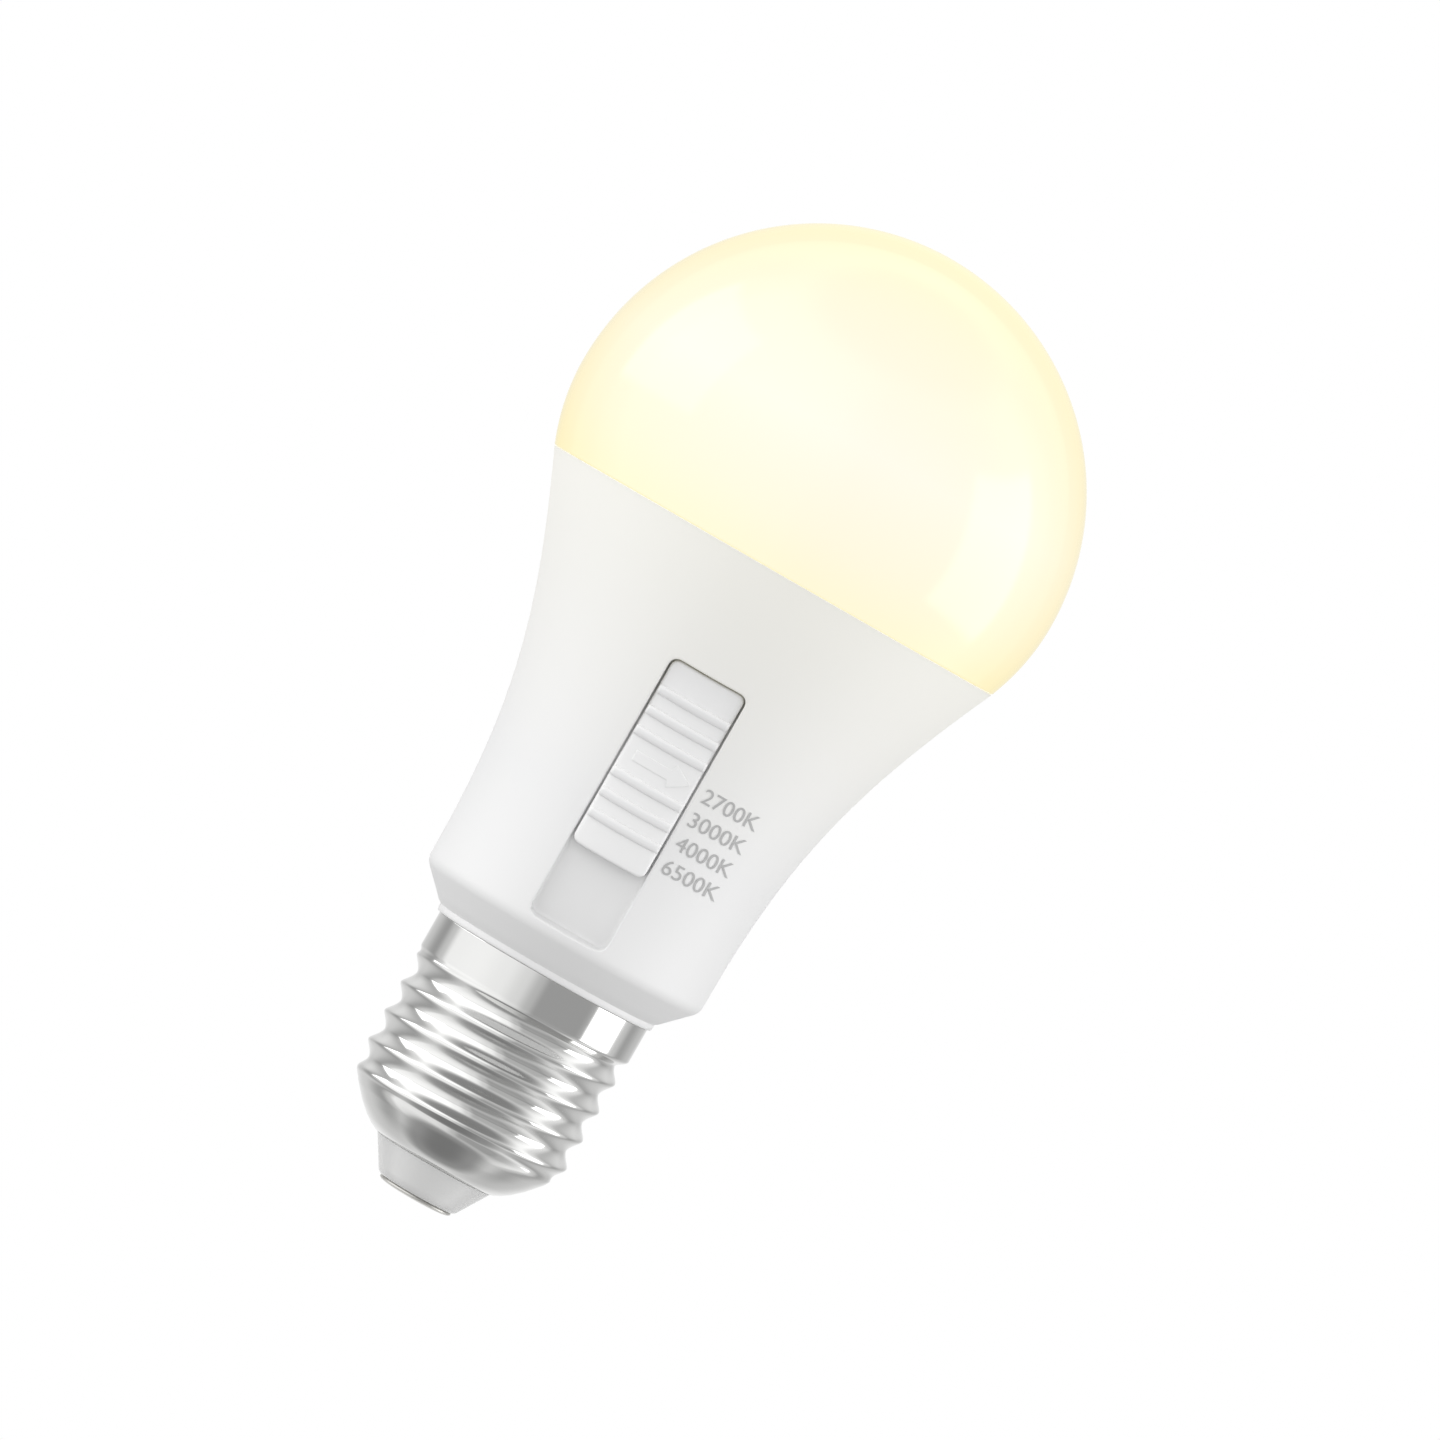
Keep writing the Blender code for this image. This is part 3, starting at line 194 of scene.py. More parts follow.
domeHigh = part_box("diffuser_dome")[1]
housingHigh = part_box("housing_shell")[1]
capLow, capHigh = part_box("screw_cap")
domeRadius = domeHigh.x
seamZ = housingHigh.z + body["gap"] / 2
equatorZ = domeHigh.z - domeRadius
lipZ = capHigh.z + body["gap"]
coneRadius = body["lipRadius"] + body["coneStep"]
coneZ = lipZ + body["lipHeight"] + body["coneStep"] / 2
coneTopZ = coneZ + body["neckRadius"] - coneRadius
neckReach = body["neckRound"] * math.tan(math.pi / 8)
neckZ = coneTopZ + neckReach + body["neckStraight"]


def domeRadiusAt(height, inset=0.0):
    down = body["domeLowerHalf"] - inset
    return (domeRadius - inset) * math.sqrt(max(0.0, 1 - ((equatorZ - height) / down) ** 2))


# Point of the housing's flare, set in along its normal
def flarePoint(share, inset=0.0):
    lean = Vector((math.sin(body["seamTilt"]), math.cos(body["seamTilt"])))
    seam = Vector((domeRadiusAt(seamZ), seamZ))
    neck = Vector((body["neckRadius"], neckZ))
    knots = (neck, neck + Vector((0, body["neckPull"])), seam - body["seamPull"] * lean, seam)
    rest = 1 - share
    weights = (rest**3, 3 * rest**2 * share, 3 * rest * share**2, share**3)
    slopes = (-(rest**2), rest * (rest - 2 * share), share * (2 * rest - share), share**2)
    place = sum((w * k for w, k in zip(weights, knots)), Vector((0, 0)))
    along = sum((s * k for s, k in zip(slopes, knots)), Vector((0, 0))).normalized()
    return place + inset * Vector((-along.y, along.x))


flareShares = [i / body["flareSteps"] for i in range(body["flareSteps"] + 1)]
flareOuter = np.array([flarePoint(share) for share in flareShares])
flareInner = np.array([flarePoint(share, body["wall"]) for share in flareShares])


# Radius of the flare's inner face at a height
def flareBore(height):
    return float(np.interp(height, flareInner[:, 1], flareInner[:, 0]))


# Points down the round corner between the neck and its cone, outside
def neckCorner(steps=body["cornerSteps"]):
    centre = (body["neckRadius"] - body["neckRound"], coneTopZ + neckReach)
    turns = [-math.pi / 4 * i / steps for i in range(steps + 1)]
    reach = body["neckRound"]
    return [(centre[0] + reach * math.cos(a), centre[1] + reach * math.sin(a)) for a in turns]


skinTable = [tuple(point) for point in flareOuter[::-1]] + neckCorner() + [(coneRadius, coneZ)]
skinHeights = np.array([point[1] for point in skinTable])[::-1]
skinRadii = np.array([point[0] for point in skinTable])[::-1]


# Radius of the housing's outer skin at a height
def skinRadius(height):
    return float(np.interp(height, skinHeights, skinRadii))


# The selector's track: x across, up along the track, out of the housing

selector = {
    "trackRise": 15.9 * mm,
    "travel": 9.0 * mm,
    "sideGap": 0.25 * mm,
    "buttonWidth": 9.05 * mm,
    "buttonLength": 23.3 * mm,
    "buttonRound": 0.9 * mm,
    "windowRound": 1.1 * mm,
    "floorDepth": 1.3 * mm,
}
windowHalf = selector["buttonWidth"] / 2 + selector["sideGap"]
windowReach = (selector["buttonLength"] + selector["travel"]) / 2 + selector["sideGap"]
trackZ = neckZ + selector["trackRise"]
trackRadius = skinRadius(trackZ)
trackLean = math.atan2(
    skinRadius(trackZ + windowReach) - skinRadius(max(trackZ - windowReach, neckZ)), 2 * windowReach
)
leanSin, leanCos = math.sin(trackLean), math.cos(trackLean)


def trackPoint(x, up, out):
    y = -trackRadius - up * leanSin - out * leanCos
    return Vector((x, y, trackZ + up * leanCos - out * leanSin))


# How far the housing's skin stands out of the track's plane
def skinOut(x, up):
    out = 0.0
    for _ in range(8):  # settles well before this
        radius = skinRadius(trackZ + up * leanCos - out * leanSin)
        out = (math.sqrt(radius**2 - x**2) - trackRadius - up * leanSin) / leanCos
    return out


def ease(value, low, high):
    share = min(1.0, max(0.0, (value - low) / (high - low)))
    return share * share * (3 - 2 * share)


print("frame read: seam", round(seamZ / mm, 2), "track", round(trackZ / mm, 2))


# Diffuser dome

dome = {
    "wall": 1.2 * mm,
    "spigotDepth": 3.0 * mm,
    "shoulderRise": -0.12 * mm,
    "edgeRound": 0.25 * mm,
    "spigotTaper": 0.1 * mm,
    "edgeSteps": 5,
    "lowerSteps": 14,
    "crownSteps": 56,
    "innerLowerSteps": 10,
    "innerCrownSteps": 28,
    "turns": 160,
    "sharpAngle": 50,
}


def arcPoints(centre, radius, start, end, steps):
    turns = [math.radians(start + (end - start) * i / steps) for i in range(steps + 1)]
    return [(centre[0] + radius * math.cos(a), centre[1] + radius * math.sin(a)) for a in turns]


def makeDome():
    shoulder = seamZ + dome["shoulderRise"]
    spigotTop = seamZ - body["gap"]
    spigotEnd = seamZ - dome["spigotDepth"]
    spigotRadius = flareBore(spigotTop) - body["gap"]
    endRadius = flareBore(spigotEnd) - body["gap"]
    edge, wall = dome["edgeRound"], dome["wall"]
    outline = [(0, domeHigh.z)]
    outline += arcPoints((0, equatorZ), domeRadius, 90, 0, dome["crownSteps"])[1:]
    for height in spread(equatorZ, shoulder + edge, dome["lowerSteps"])[1:]:
        outline.append((domeRadiusAt(height), height))
    rim = domeRadiusAt(shoulder + edge)
    outline += arcPoints((rim - edge, shoulder + edge), edge, 0, -90, dome["edgeSteps"])
    outline += [(spigotRadius + edge, shoulder), (spigotRadius, shoulder - edge)]
    outline += [(endRadius + dome["spigotTaper"], spigotEnd + edge), (endRadius - edge, spigotEnd)]
    outline += [(endRadius - wall, spigotEnd), (spigotRadius - wall, shoulder + wall)]
    for height in spread(shoulder + 2 * wall, equatorZ, dome["innerLowerSteps"]):
        outline.append((domeRadiusAt(height, wall), height))
    outline += arcPoints((0, equatorZ), domeRadius - wall, 0, 90, dome["innerCrownSteps"])[:-1]
    outline.append((0, domeHigh.z - wall))
    obj = turnedPiece("frosted_dome", outline, dome["turns"])
    smooth(obj, dome["sharpAngle"])
    return obj


# Housing: a flat plate with the selector's window, wrapped round the axis

housing = {
    "frontReach": 8.5 * mm,
    "flatEnd": 30.0 * mm,
    "aroundSteps": 46,
    "flareSteps": 15,
    "trackSteps": 30,
    "cornerSteps": 7,
    "rimRound": 0.18 * mm,
    "rimTurns": (90, 60, 30),
    "rimOverlap": 0.06 * mm,
    "rimWidth": 0.4 * mm,
    "edgeRound": 0.22 * mm,
    "edgeSegments": 4,
    "leastDrop": 0.02 * mm,
    "leastStep": 0.05 * mm,
    "rowsAboveWindow": (16.75 * mm, 17.2 * mm, 17.8 * mm, 18.6 * mm),
    "rowsInsideWindow": (0.28 * mm, 0.6 * mm, 1.1 * mm),
    "columnsInside": (0, 1.2 * mm, 2.3 * mm, 3.3 * mm, 3.9 * mm, 4.4 * mm),
    "columnsBeside": (0.35 * mm, 0.8 * mm, 1.4 * mm, 2.1 * mm, 2.9 * mm),
    "sideBlend": (1.0 * mm, 3.2 * mm),
    "topBlend": (1.2 * mm, 3.5 * mm),
    "footBlend": (0.4 * mm, 1.6 * mm),
    "neckSlope": 1.2 * mm,
    "coneRows": ((0.33, 0.3), (0.66, 0.6), (1.0, 0.9)),
    "lipRows": ((0.12 * mm, 0.9 * mm), (0, 0.77 * mm), (0.03 * mm, 0.45 * mm), (0, 0.12 * mm),
                (-0.12 * mm, 0)),
    "spigotOuter": 11.4 * mm,
    "spigotInner": 10.0 * mm,
    "spigotEnd": 11.0 * mm,
    "spigotEdge": 0.3 * mm,
    "shoulderWeb": 0.6 * mm,
    "shoulderDrop": 0.1 * mm,
    "sharpAngle": 40,
}


# Place along the track of a point on the skin's front line
def alongTrack(radius, height):
    return (height - trackZ) * leanCos + (radius - trackRadius) * leanSin


# Rows down the housing, from the rim to the spigot, as (outer point, inner point)
def housingRows():
    rows = []
    rim, rimRound = housingHigh.z, housing["rimRound"]
    for turn in housing["rimTurns"]:
        a = math.radians(turn)
        down = rimRound * (1 - math.sin(a))
        outer = (skinRadius(rim) - rimRound * (1 - math.cos(a)), rim - down)
        rows.append((outer, (flareBore(rim), rim - down)))
    above = [windowReach] + list(housing["rowsAboveWindow"])
    inside = [windowReach - step for step in housing["rowsInsideWindow"]]
    middle = spread(inside[-1], -inside[-1], housing["trackSteps"])[1:] + [-inside[-1]]
    below = [-place for place in reversed(inside[:-1])] + [-windowReach]
    trackHeights = [heightOnTrack(place) for place in above[::-1] + inside + middle + below]
    flareHeights = spread(rim - rimRound, trackHeights[0], housing["flareSteps"])
    for height in flareHeights + trackHeights:
        rows.append(((skinRadius(height), height), innerSkin(height)))
    neckInner = body["neckRadius"] - body["wall"]
    corner = neckCorner(housing["cornerSteps"])
    for radius, height in corner[1:]:
        rows.append(((radius, height), (neckInner, height + housing["neckSlope"])))
    shoulderZ = lipZ + housing["shoulderWeb"]
    bore = housing["spigotInner"]
    for down, inward in housing["coneRows"]:
        radius = corner[-1][0] + (coneRadius - corner[-1][0]) * down
        height = corner[-1][1] + (coneZ - corner[-1][1]) * down
        innerRadius = neckInner + (bore - neckInner) * inward
        rows.append(((radius, height), (innerRadius, shoulderZ + innerRadius - bore)))
    for out, up in housing["lipRows"]:
        rows.append(((body["lipRadius"] + out, lipZ + up), (bore, shoulderZ)))
    end, edge = housing["spigotEnd"], housing["spigotEdge"]
    for height in (lipZ, lipZ - edge, end + edge, end):
        inner = (bore, min(height, shoulderZ - housing["shoulderDrop"]))
        rows.append(((housing["spigotOuter"], height), inner))
    return rows


# Height of the skin's front line at a place along the track
def heightOnTrack(place):
    tops = [alongTrack(radius, height) for radius, height in zip(skinRadii, skinHeights)]
    return float(np.interp(place, tops, skinHeights))


def innerSkin(height):
    return (min(flareBore(height), skinRadius(height) - body["wall"]), height)


# Places of the rows on the flat plate, from the rim down
def platePlaces(rows):
    places = []
    for index, (outer, _) in enumerate(rows):
        place = alongTrack(*outer)
        if places and (outer[1] < coneZ or place >= places[-1] - housing["leastDrop"]):
            step = (Vector(outer) - Vector(rows[index - 1][0])).length
            place = places[-1] - max(step, housing["leastStep"])
        places.append(place)
    return places


# Whether a point of the plate is in the selector's window, or beyond its edge by the margin
def inWindow(point, margin=0.0):
    return abs(point.x) < windowHalf + margin and abs(point.y) < windowReach + margin


def makeHousing():
    rows = housingRows()
    places = platePlaces(rows)
    reach, end = housing["frontReach"], housing["flatEnd"]
    inside = [*housing["columnsInside"], windowHalf]
    beside = [windowHalf + step for step in housing["columnsBeside"]] + [reach]
    around = spread(reach, end, housing["aroundSteps"])[1:] + [end]
    obj = gridPiece("housing_skin", mirrored(inside + beside + around), places[::-1])
    deleteFaces(obj, inWindow)
    roundness = selector["windowRound"]
    corner = Vector((windowHalf - roundness, windowReach - roundness))
    for vertex in obj.data.vertices:
        away = Vector((abs(vertex.co.x) - corner.x, abs(vertex.co.y) - corner.y))
        if min(away) > 0 and inWindow(vertex.co, tiny):
            away = away.normalized() * roundness
            vertex.co.x = math.copysign(corner.x + away.x, vertex.co.x)
            vertex.co.y = math.copysign(corner.y + away.y, vertex.co.y)
    thicken(obj, body["wall"])
    deleteFaces(obj, lambda centre: abs(centre.x) > end - tiny)
    editAll(obj, "EDGE")
    bpy.ops.mesh.select_all(action="DESELECT")
    leaveEdit()
    wallEdges = set()
    for face in obj.data.polygons:
        if abs(face.normal.z) < 0.5 and inWindow(face.center, tiny):
            wallEdges.update(face.edge_keys)
    for edge in obj.data.edges:
        ends = [obj.data.vertices[index].co for index in edge.vertices]
        edge.select = edge.key in wallEdges and all(abs(co.z) < tiny for co in ends)
    bpy.ops.object.mode_set(mode="EDIT")
    bpy.ops.mesh.bevel(offset=housing["edgeRound"], segments=housing["edgeSegments"],
                       profile=0.5, clamp_overlap=False)
    leaveEdit()
    wrapPlate(obj, rows, places)
    mendMesh(obj)
    smooth(obj, housing["sharpAngle"])
    return obj


# Wraps the flat plate round the axis, and straightens it where the selector's window is
def wrapPlate(obj, rows, places):
    order = places[::-1]
    outerRadius, outerZ = (np.array([row[0][i] for row in rows])[::-1] for i in (0, 1))
    innerRadius, innerZ = (np.array([row[1][i] for row in rows])[::-1] for i in (0, 1))
    reach, end = housing["frontReach"], housing["flatEnd"]
    for vertex in obj.data.vertices:
        x, up, depth = vertex.co.x, vertex.co.y, -vertex.co.z
        share = depth / body["wall"]
        outer = (np.interp(up, order, outerRadius), np.interp(up, order, outerZ))
        inner = (np.interp(up, order, innerRadius), np.interp(up, order, innerZ))
        angle = math.asin(min(abs(x), reach) / outer[0])
        angle += (math.pi - angle) * max(0.0, (abs(x) - reach) / (end - reach))
        angle = math.copysign(angle, x)
        radius = outer[0] + (inner[0] - outer[0]) * share
        height = outer[1] + (inner[1] - outer[1]) * share
        place = Vector((radius * math.sin(angle), -radius * math.cos(angle), height))
        front = 1 - ease(abs(x) - windowHalf, *housing["sideBlend"])
        front *= 1 - ease(up - windowReach, *housing["topBlend"])
        front *= 1 - ease(-up - windowReach, *housing["footBlend"])
        if front > 0:
            out = skinOut(x, up)
            beyond = max(abs(x) - windowHalf, abs(up) - windowReach)
            deep = max(body["wall"], out + selector["floorDepth"] + housing["rimOverlap"])
            deep += (body["wall"] - deep) * ease(beyond, 0, housing["rimWidth"])
            place = place.lerp(trackPoint(x, up, out - share * deep), front)
        vertex.co = place


# Selector: recess floor, sliding button with grip ribs, and its embossed arrow

button = {
    "travelPlace": 4.5 * mm,
    "underside": 1.0 * mm,
    "proudTop": -0.62 * mm,
    "proudBottom": 0.22 * mm,
    "edgeRound": 0.38 * mm,
    "ribPitch": 2.6 * mm,
    "ribCrest": 0.28 * mm,
    "ribAbove": 0.3 * mm,
    "ribBelow": 0.85 * mm,
    "ribProud": 0.5 * mm,
    "ribReach": 4.5 * mm,
    "ribEnd": 0.15 * mm,
    "ribsPerSide": 3,
    "ribSteps": 6,
    "settle": 0.75,
    "edgeSteps": (0.38 * mm, 0.24 * mm, 0.13 * mm, 0.06 * mm, 0.02 * mm, 0),
    "edgeStart": 0.4 * mm,
    "columnSteps": 16,
    "endStart": 0.9 * mm,
    "endSteps": 8,
    "thickness": 1.0 * mm,
    "sharpAngle": 42,
    "stemSize": (2.4 * mm, 4.0 * mm),
    "stemLow": -3.15 * mm,
    "stemHigh": -0.7 * mm,
    "stemRound": 0.25 * mm,
}
ribMiddles = [
    side * index * button["ribPitch"]
    for index in range(1, button["ribsPerSide"] + 1) for side in (-1, 1)
]


# Draws a rectangle's corners in to arcs, with all that is inside them, and gives each point's
# new place, its distance in from the edge and its vertex
def roundCorners(obj, halfWidth, halfLength, radius):
    corner = Vector((halfWidth - radius, halfLength - radius))
    for vertex in obj.data.vertices:
        x, y = vertex.co.x, vertex.co.y
        edge = max(0.0, min(halfWidth - abs(x), halfLength - abs(y)))
        away = Vector((abs(x), abs(y))) - corner
        if min(away) > 0:
            away = corner + away * max(away) / away.length
            x, y = math.copysign(away.x, x), math.copysign(away.y, y)
        yield x, y, edge, vertex


# Fall of a rounded edge at a distance in from it
def edgeDrop(distance, radius):
    inward = max(0.0, radius - distance)
    return radius - math.sqrt(max(0.0, radius**2 - inward**2))


def ribHeight(x, y):
    height = 0.0
    for middle in ribMiddles:
        away = y - middle - button["ribCrest"]
        away /= button["ribAbove"] if away > 0 else -button["ribBelow"]
        if away < 1:
            ends = min(1.0, max(0.0, (button["ribReach"] - abs(x)) / button["ribEnd"]))
            height = button["ribProud"] * math.sqrt(1 - away**2) * math.sqrt(ends * (2 - ends))
    return height


# Height of the button's face over the track's plane, without its edges
def buttonFace(x, y):
    up = y + button["travelPlace"]
    share = 0.5 - y / selector["buttonLength"]
    rise = button["proudBottom"] - button["proudTop"]
    return skinOut(x, up) + button["proudTop"] + rise * ease(share, 0, button["settle"])


def makeButton():
    half, length = selector["buttonWidth"] / 2, selector["buttonLength"] / 2
    columns = spread(0, half - button["edgeStart"], button["columnSteps"])
    columns += [half - step for step in button["edgeSteps"]]
    start = button["ribsPerSide"] * button["ribPitch"] + button["endStart"]
    ends = spread(start, length - button["edgeStart"], button["endSteps"])
    ends += [length - step for step in button["edgeSteps"]]
    rows = mirrored(ends) + [-button["ribPitch"] / 2, 0, button["ribPitch"] / 2]
    count = button["ribSteps"]
    arc = [math.sin(math.pi / 2 * index / count) for index in range(1, count + 1)]
    for middle in ribMiddles:
        crest = middle + button["ribCrest"]
        rows += [crest] + [crest + button["ribAbove"] * share for share in arc]
        rows += [crest - button["ribBelow"] * share for share in arc]
    obj = gridPiece("selector_cap", mirrored(columns), sorted(rows))
    thicken(obj, button["thickness"])
    for x, y, edge, vertex in roundCorners(obj, half, length, selector["buttonRound"]):
        out = -button["underside"]
        if vertex.co.z > -button["thickness"] / 2:
            out = buttonFace(x, y) + ribHeight(vertex.co.x, vertex.co.y)
            out -= edgeDrop(edge, button["edgeRound"])
        vertex.co = trackPoint(x, y + button["travelPlace"], out)
    mendMesh(obj, fineWeld)
    joinPieces(obj, makeArrow(), makeStem())
    smooth(obj, button["sharpAngle"])
    return obj


arrow = {
    "tail": -3.1 * mm,
    "neck": 1.5 * mm,
    "tip": 4.0 * mm,
    "shaftHalf": 0.62 * mm,
    "headHalf": 1.5 * mm,
    "proud": 0.11 * mm,
    "thickness": 0.4 * mm,
    "edgeRound": 0.06 * mm,
    "alongSteps": 24,
    "acrossSteps": 8,
}


# Low arrow that points to the scale, with soft edges
def makeArrow():
    bpy.ops.mesh.primitive_grid_add(
        x_subdivisions=arrow["alongSteps"], y_subdivisions=arrow["acrossSteps"], size=2
    )
    obj = newPiece("selector_arrow")
    length = arrow["tip"] - arrow["tail"]
    headShare = (arrow["tip"] - arrow["neck"]) / length
    for vertex in obj.data.vertices:
        share = (vertex.co.x + 1) / 2
        half = arrow["shaftHalf"]
        if share > 1 - headShare:
            half = arrow["headHalf"] * (1 - share) / headShare
        vertex.co = (arrow["tail"] + length * share, vertex.co.y * half, 0)
    mendMesh(obj)
    thicken(obj, arrow["thickness"])
    applyModifier(obj, "BEVEL", width=arrow["edgeRound"], segments=2, limit_method="ANGLE",
                  use_clamp_overlap=False)
    for vertex in obj.data.vertices:
        x, y = vertex.co.x, vertex.co.y
        out = buttonFace(x, y) + arrow["proud"] + vertex.co.z
        vertex.co = trackPoint(x, y + button["travelPlace"], out)
    return obj


# Stem under the button, which reaches the carrier behind the recess
def makeStem():
    bpy.ops.mesh.primitive_cube_add(size=1)
    obj = newPiece("button_stem")
    low, high = button["stemLow"], button["stemHigh"]
    editAll(obj)
    bpy.ops.transform.resize(value=(*button["stemSize"], high - low), center_override=(0, 0, 0))
    bpy.ops.transform.translate(value=(0, 0, (low + high) / 2))
    leaveEdit()
    applyModifier(obj, "BEVEL", width=button["stemRound"], segments=3, limit_method="ANGLE")
    for vertex in obj.data.vertices:
        vertex.co = trackPoint(vertex.co.x, vertex.co.y + button["travelPlace"], vertex.co.z)
    return obj


tray = {
    "floor": 0.09 * mm,
    "floorRise": 0.02 * mm,
    "fillet": 0.45 * mm,
    "overlap": 0.04 * mm,
    "slot": (3.0 * mm, 13.6 * mm),
    "slotBorder": 0.15 * mm,
    "innerColumns": (2.4 * mm, 3.2 * mm),
    "slotStart": 2.0 * mm,
    "slotSteps": 3,
    "endStart": 1.0 * mm,
    "endStop": 1.2 * mm,
    "endSteps": 8,
    "edgeSteps": (1.1 * mm, 0.8 * mm, 0.46 * mm, 0.32 * mm, 0.2 * mm, 0.1 * mm, 0.04 * mm, 0),
    "thickness": 1.0 * mm,
    "sharpAngle": 40,
}


# Floor of the recess, soft where it meets the walls, on the tray behind it
def makeTray():
    half, length = windowHalf + tray["overlap"], windowReach + tray["overlap"]
    slotHalf, slotReach = tray["slot"][0] / 2, tray["slot"][1] / 2
    columns = [0, slotHalf, slotHalf + tray["slotBorder"], *tray["innerColumns"]]
    columns += [half - step for step in tray["edgeSteps"]]
    rows = [0] + spread(tray["slotStart"], slotReach, tray["slotSteps"])
    rows += [slotReach, slotReach + tray["slotBorder"]]
    rows += spread(slotReach + tray["endStart"], length - tray["endStop"], tray["endSteps"])
    rows += [length - step for step in tray["edgeSteps"]]
    obj = gridPiece("recess_floor", mirrored(columns), mirrored(rows))
    deleteFaces(obj, lambda centre: abs(centre.x) < slotHalf and abs(centre.y) < slotReach)
    thicken(obj, tray["thickness"])
    for x, y, edge, vertex in roundCorners(obj, half, length, selector["windowRound"]):
        out = -tray["floor"]
        if vertex.co.z > -tray["thickness"] / 2:
            out = edgeDrop(edge, tray["fillet"]) + tray["floorRise"]
        vertex.co = trackPoint(x, y, out - selector["floorDepth"])
    mendMesh(obj, fineWeld)
    back = nodes["selector_tray"].copy()
    back.data = nodes["selector_tray"].data.copy()
    back.parent = None
    bpy.context.scene.collection.objects.link(back)
    for key in list(back.keys()):
        del back[key]
    back.data.materials.clear()
    editAll(back)
    bpy.ops.mesh.remove_doubles(threshold=weldReach)
    leaveEdit()
    joinPieces(obj, back)
    smooth(obj, tray["sharpAngle"])
    return obj


# Screw cap: collar, rolled thread, bowl and rolled mouth

cap = {
    "sheet": 0.35 * mm,
    "collar": 13.3 * mm,
    "crest": 13.22 * mm,
    "depth": 1.08 * mm,
    "pitch": 3.629 * mm,
    "phase": 7.6 * mm,
    "threadTop": 24.9 * mm,
    "threadBottom": 9.3 * mm,
    "crestRound": 0.2,
    "rootWidth": 1.08,
    "rootPower": 0.92,
    "runOut": 1.3 * mm,
    "topRunOut": 0.91 * mm,
    "topRunIn": 0.2 * mm,
    "topGap": 0.02 * mm,
    "topEdge": 0.04 * mm,
    "topRow": 0.12 * mm,
    "collarStart": 0.6 * mm,
    "collarEnd": 0.4 * mm,
    "collarSteps": 5,
    "bowl": 12.3 * mm,
    "bowlOutline": ((12.3, 9.1), (11.95, 8.5), (11.3, 7.75), (10.45, 6.8), (9.25, 5.7), (8.3, 5.05),
                    (7.55, 4.68)),
    "mouth": 7.15 * mm,
    "turns": 200,
    "rowStep": 0.11 * mm,
    "sharpAngle": 60,
}


# Radius of the rolled thread: sharp crests, round roots, run out at both ends
def threadRadius(height, angle, plain):
    turn = (height - cap["phase"]) / cap["pitch"] - angle / fullTurn
    away = 2 * abs(turn - round(turn))
    soft = math.sqrt(away**2 + cap["crestRound"] ** 2) - cap["crestRound"]
    fall = math.sin(math.pi / 2 * min(1.0, soft * cap["rootWidth"])) ** cap["rootPower"]
    wave = cap["crest"] - cap["depth"] * fall
    bottom, top, runOut = cap["threadBottom"], cap["threadTop"], cap["runOut"]
    share = ease(height, bottom - runOut / 2, bottom + runOut)
    share *= 1 - ease(height, top - cap["topRunOut"], top + cap["topRunIn"])
    return wave * share + plain * (1 - share)


# Outline down the bowl to the mouth
def bowlRun():
    points = [Vector(point) * mm for point in cap["bowlOutline"]]
    run = []
    for point, following in zip(points, points[1:]):
        run += [tuple(point), tuple((point + following) / 2)]
    return run + [tuple(points[-1]), (cap["mouth"], capLow.z)]


def makeCap():
    top = lipZ - cap["topGap"]
    collar, edge = cap["collar"], cap["topEdge"]
    collarEnd = cap["threadTop"] + cap["collarEnd"]
    outline = [(collar - edge, top), (collar, top - edge), (collar, top - cap["topRow"])]
    for height in spread(top - cap["collarStart"], collarEnd, cap["collarSteps"]):
        outline.append((collar, height))
    count = round((collarEnd - cap["threadBottom"]) / cap["rowStep"])
    for height in spread(collarEnd, cap["threadBottom"], count):
        share = (height - cap["threadBottom"]) / (cap["threadTop"] - cap["threadBottom"])
        outline.append((cap["bowl"] + (collar - cap["bowl"]) * min(1.0, share), height))
    obj = turnedPiece("nickel_shell", outline + bowlRun(), cap["turns"])
    for vertex in obj.data.vertices:
        plain = math.hypot(vertex.co.x, vertex.co.y)
        angle = math.atan2(vertex.co.y, vertex.co.x)
        share = threadRadius(vertex.co.z, angle, plain) / plain
        vertex.co.x *= share
        vertex.co.y *= share
    applyModifier(obj, "SOLIDIFY", thickness=cap["sheet"], offset=-1)
    smooth(obj, cap["sharpAngle"])
    return obj


# Insulator and centre contact

foot = {
    "end": 0.62 * mm,
    "endRadius": 4.8 * mm,
    "endRound": (0.1 * mm, 0.08 * mm, 0.3 * mm),
    "shoulder": 7.2 * mm,
    "shoulderRise": 0.04 * mm,
    "coneShares": (0.25, 0.5, 0.75, 0.92),
    "plug": 6.4 * mm,
    "edge": 0.1 * mm,
    "rivet": 1.1 * mm,
    "turns": 120,
    "sharpAngle": 30,
}
contact = {
    "top": 0.6 * mm,
    "headShare": 0.6,
    "headDrop": 0.3 * mm,
    "rootRound": (0.2 * mm, 0.1 * mm),
    "rim": 0.12 * mm,
    "rimDrops": (0.1 * mm, 0.25 * mm),
    "rimIn": 0.03 * mm,
    "flat": 2.0 * mm,
    "bulgeIn": 0.1 * mm,
    "bulgeDrop": 0.3 * mm,
    "bulgeShares": (0.2, 0.4, 0.6, 0.8),
}


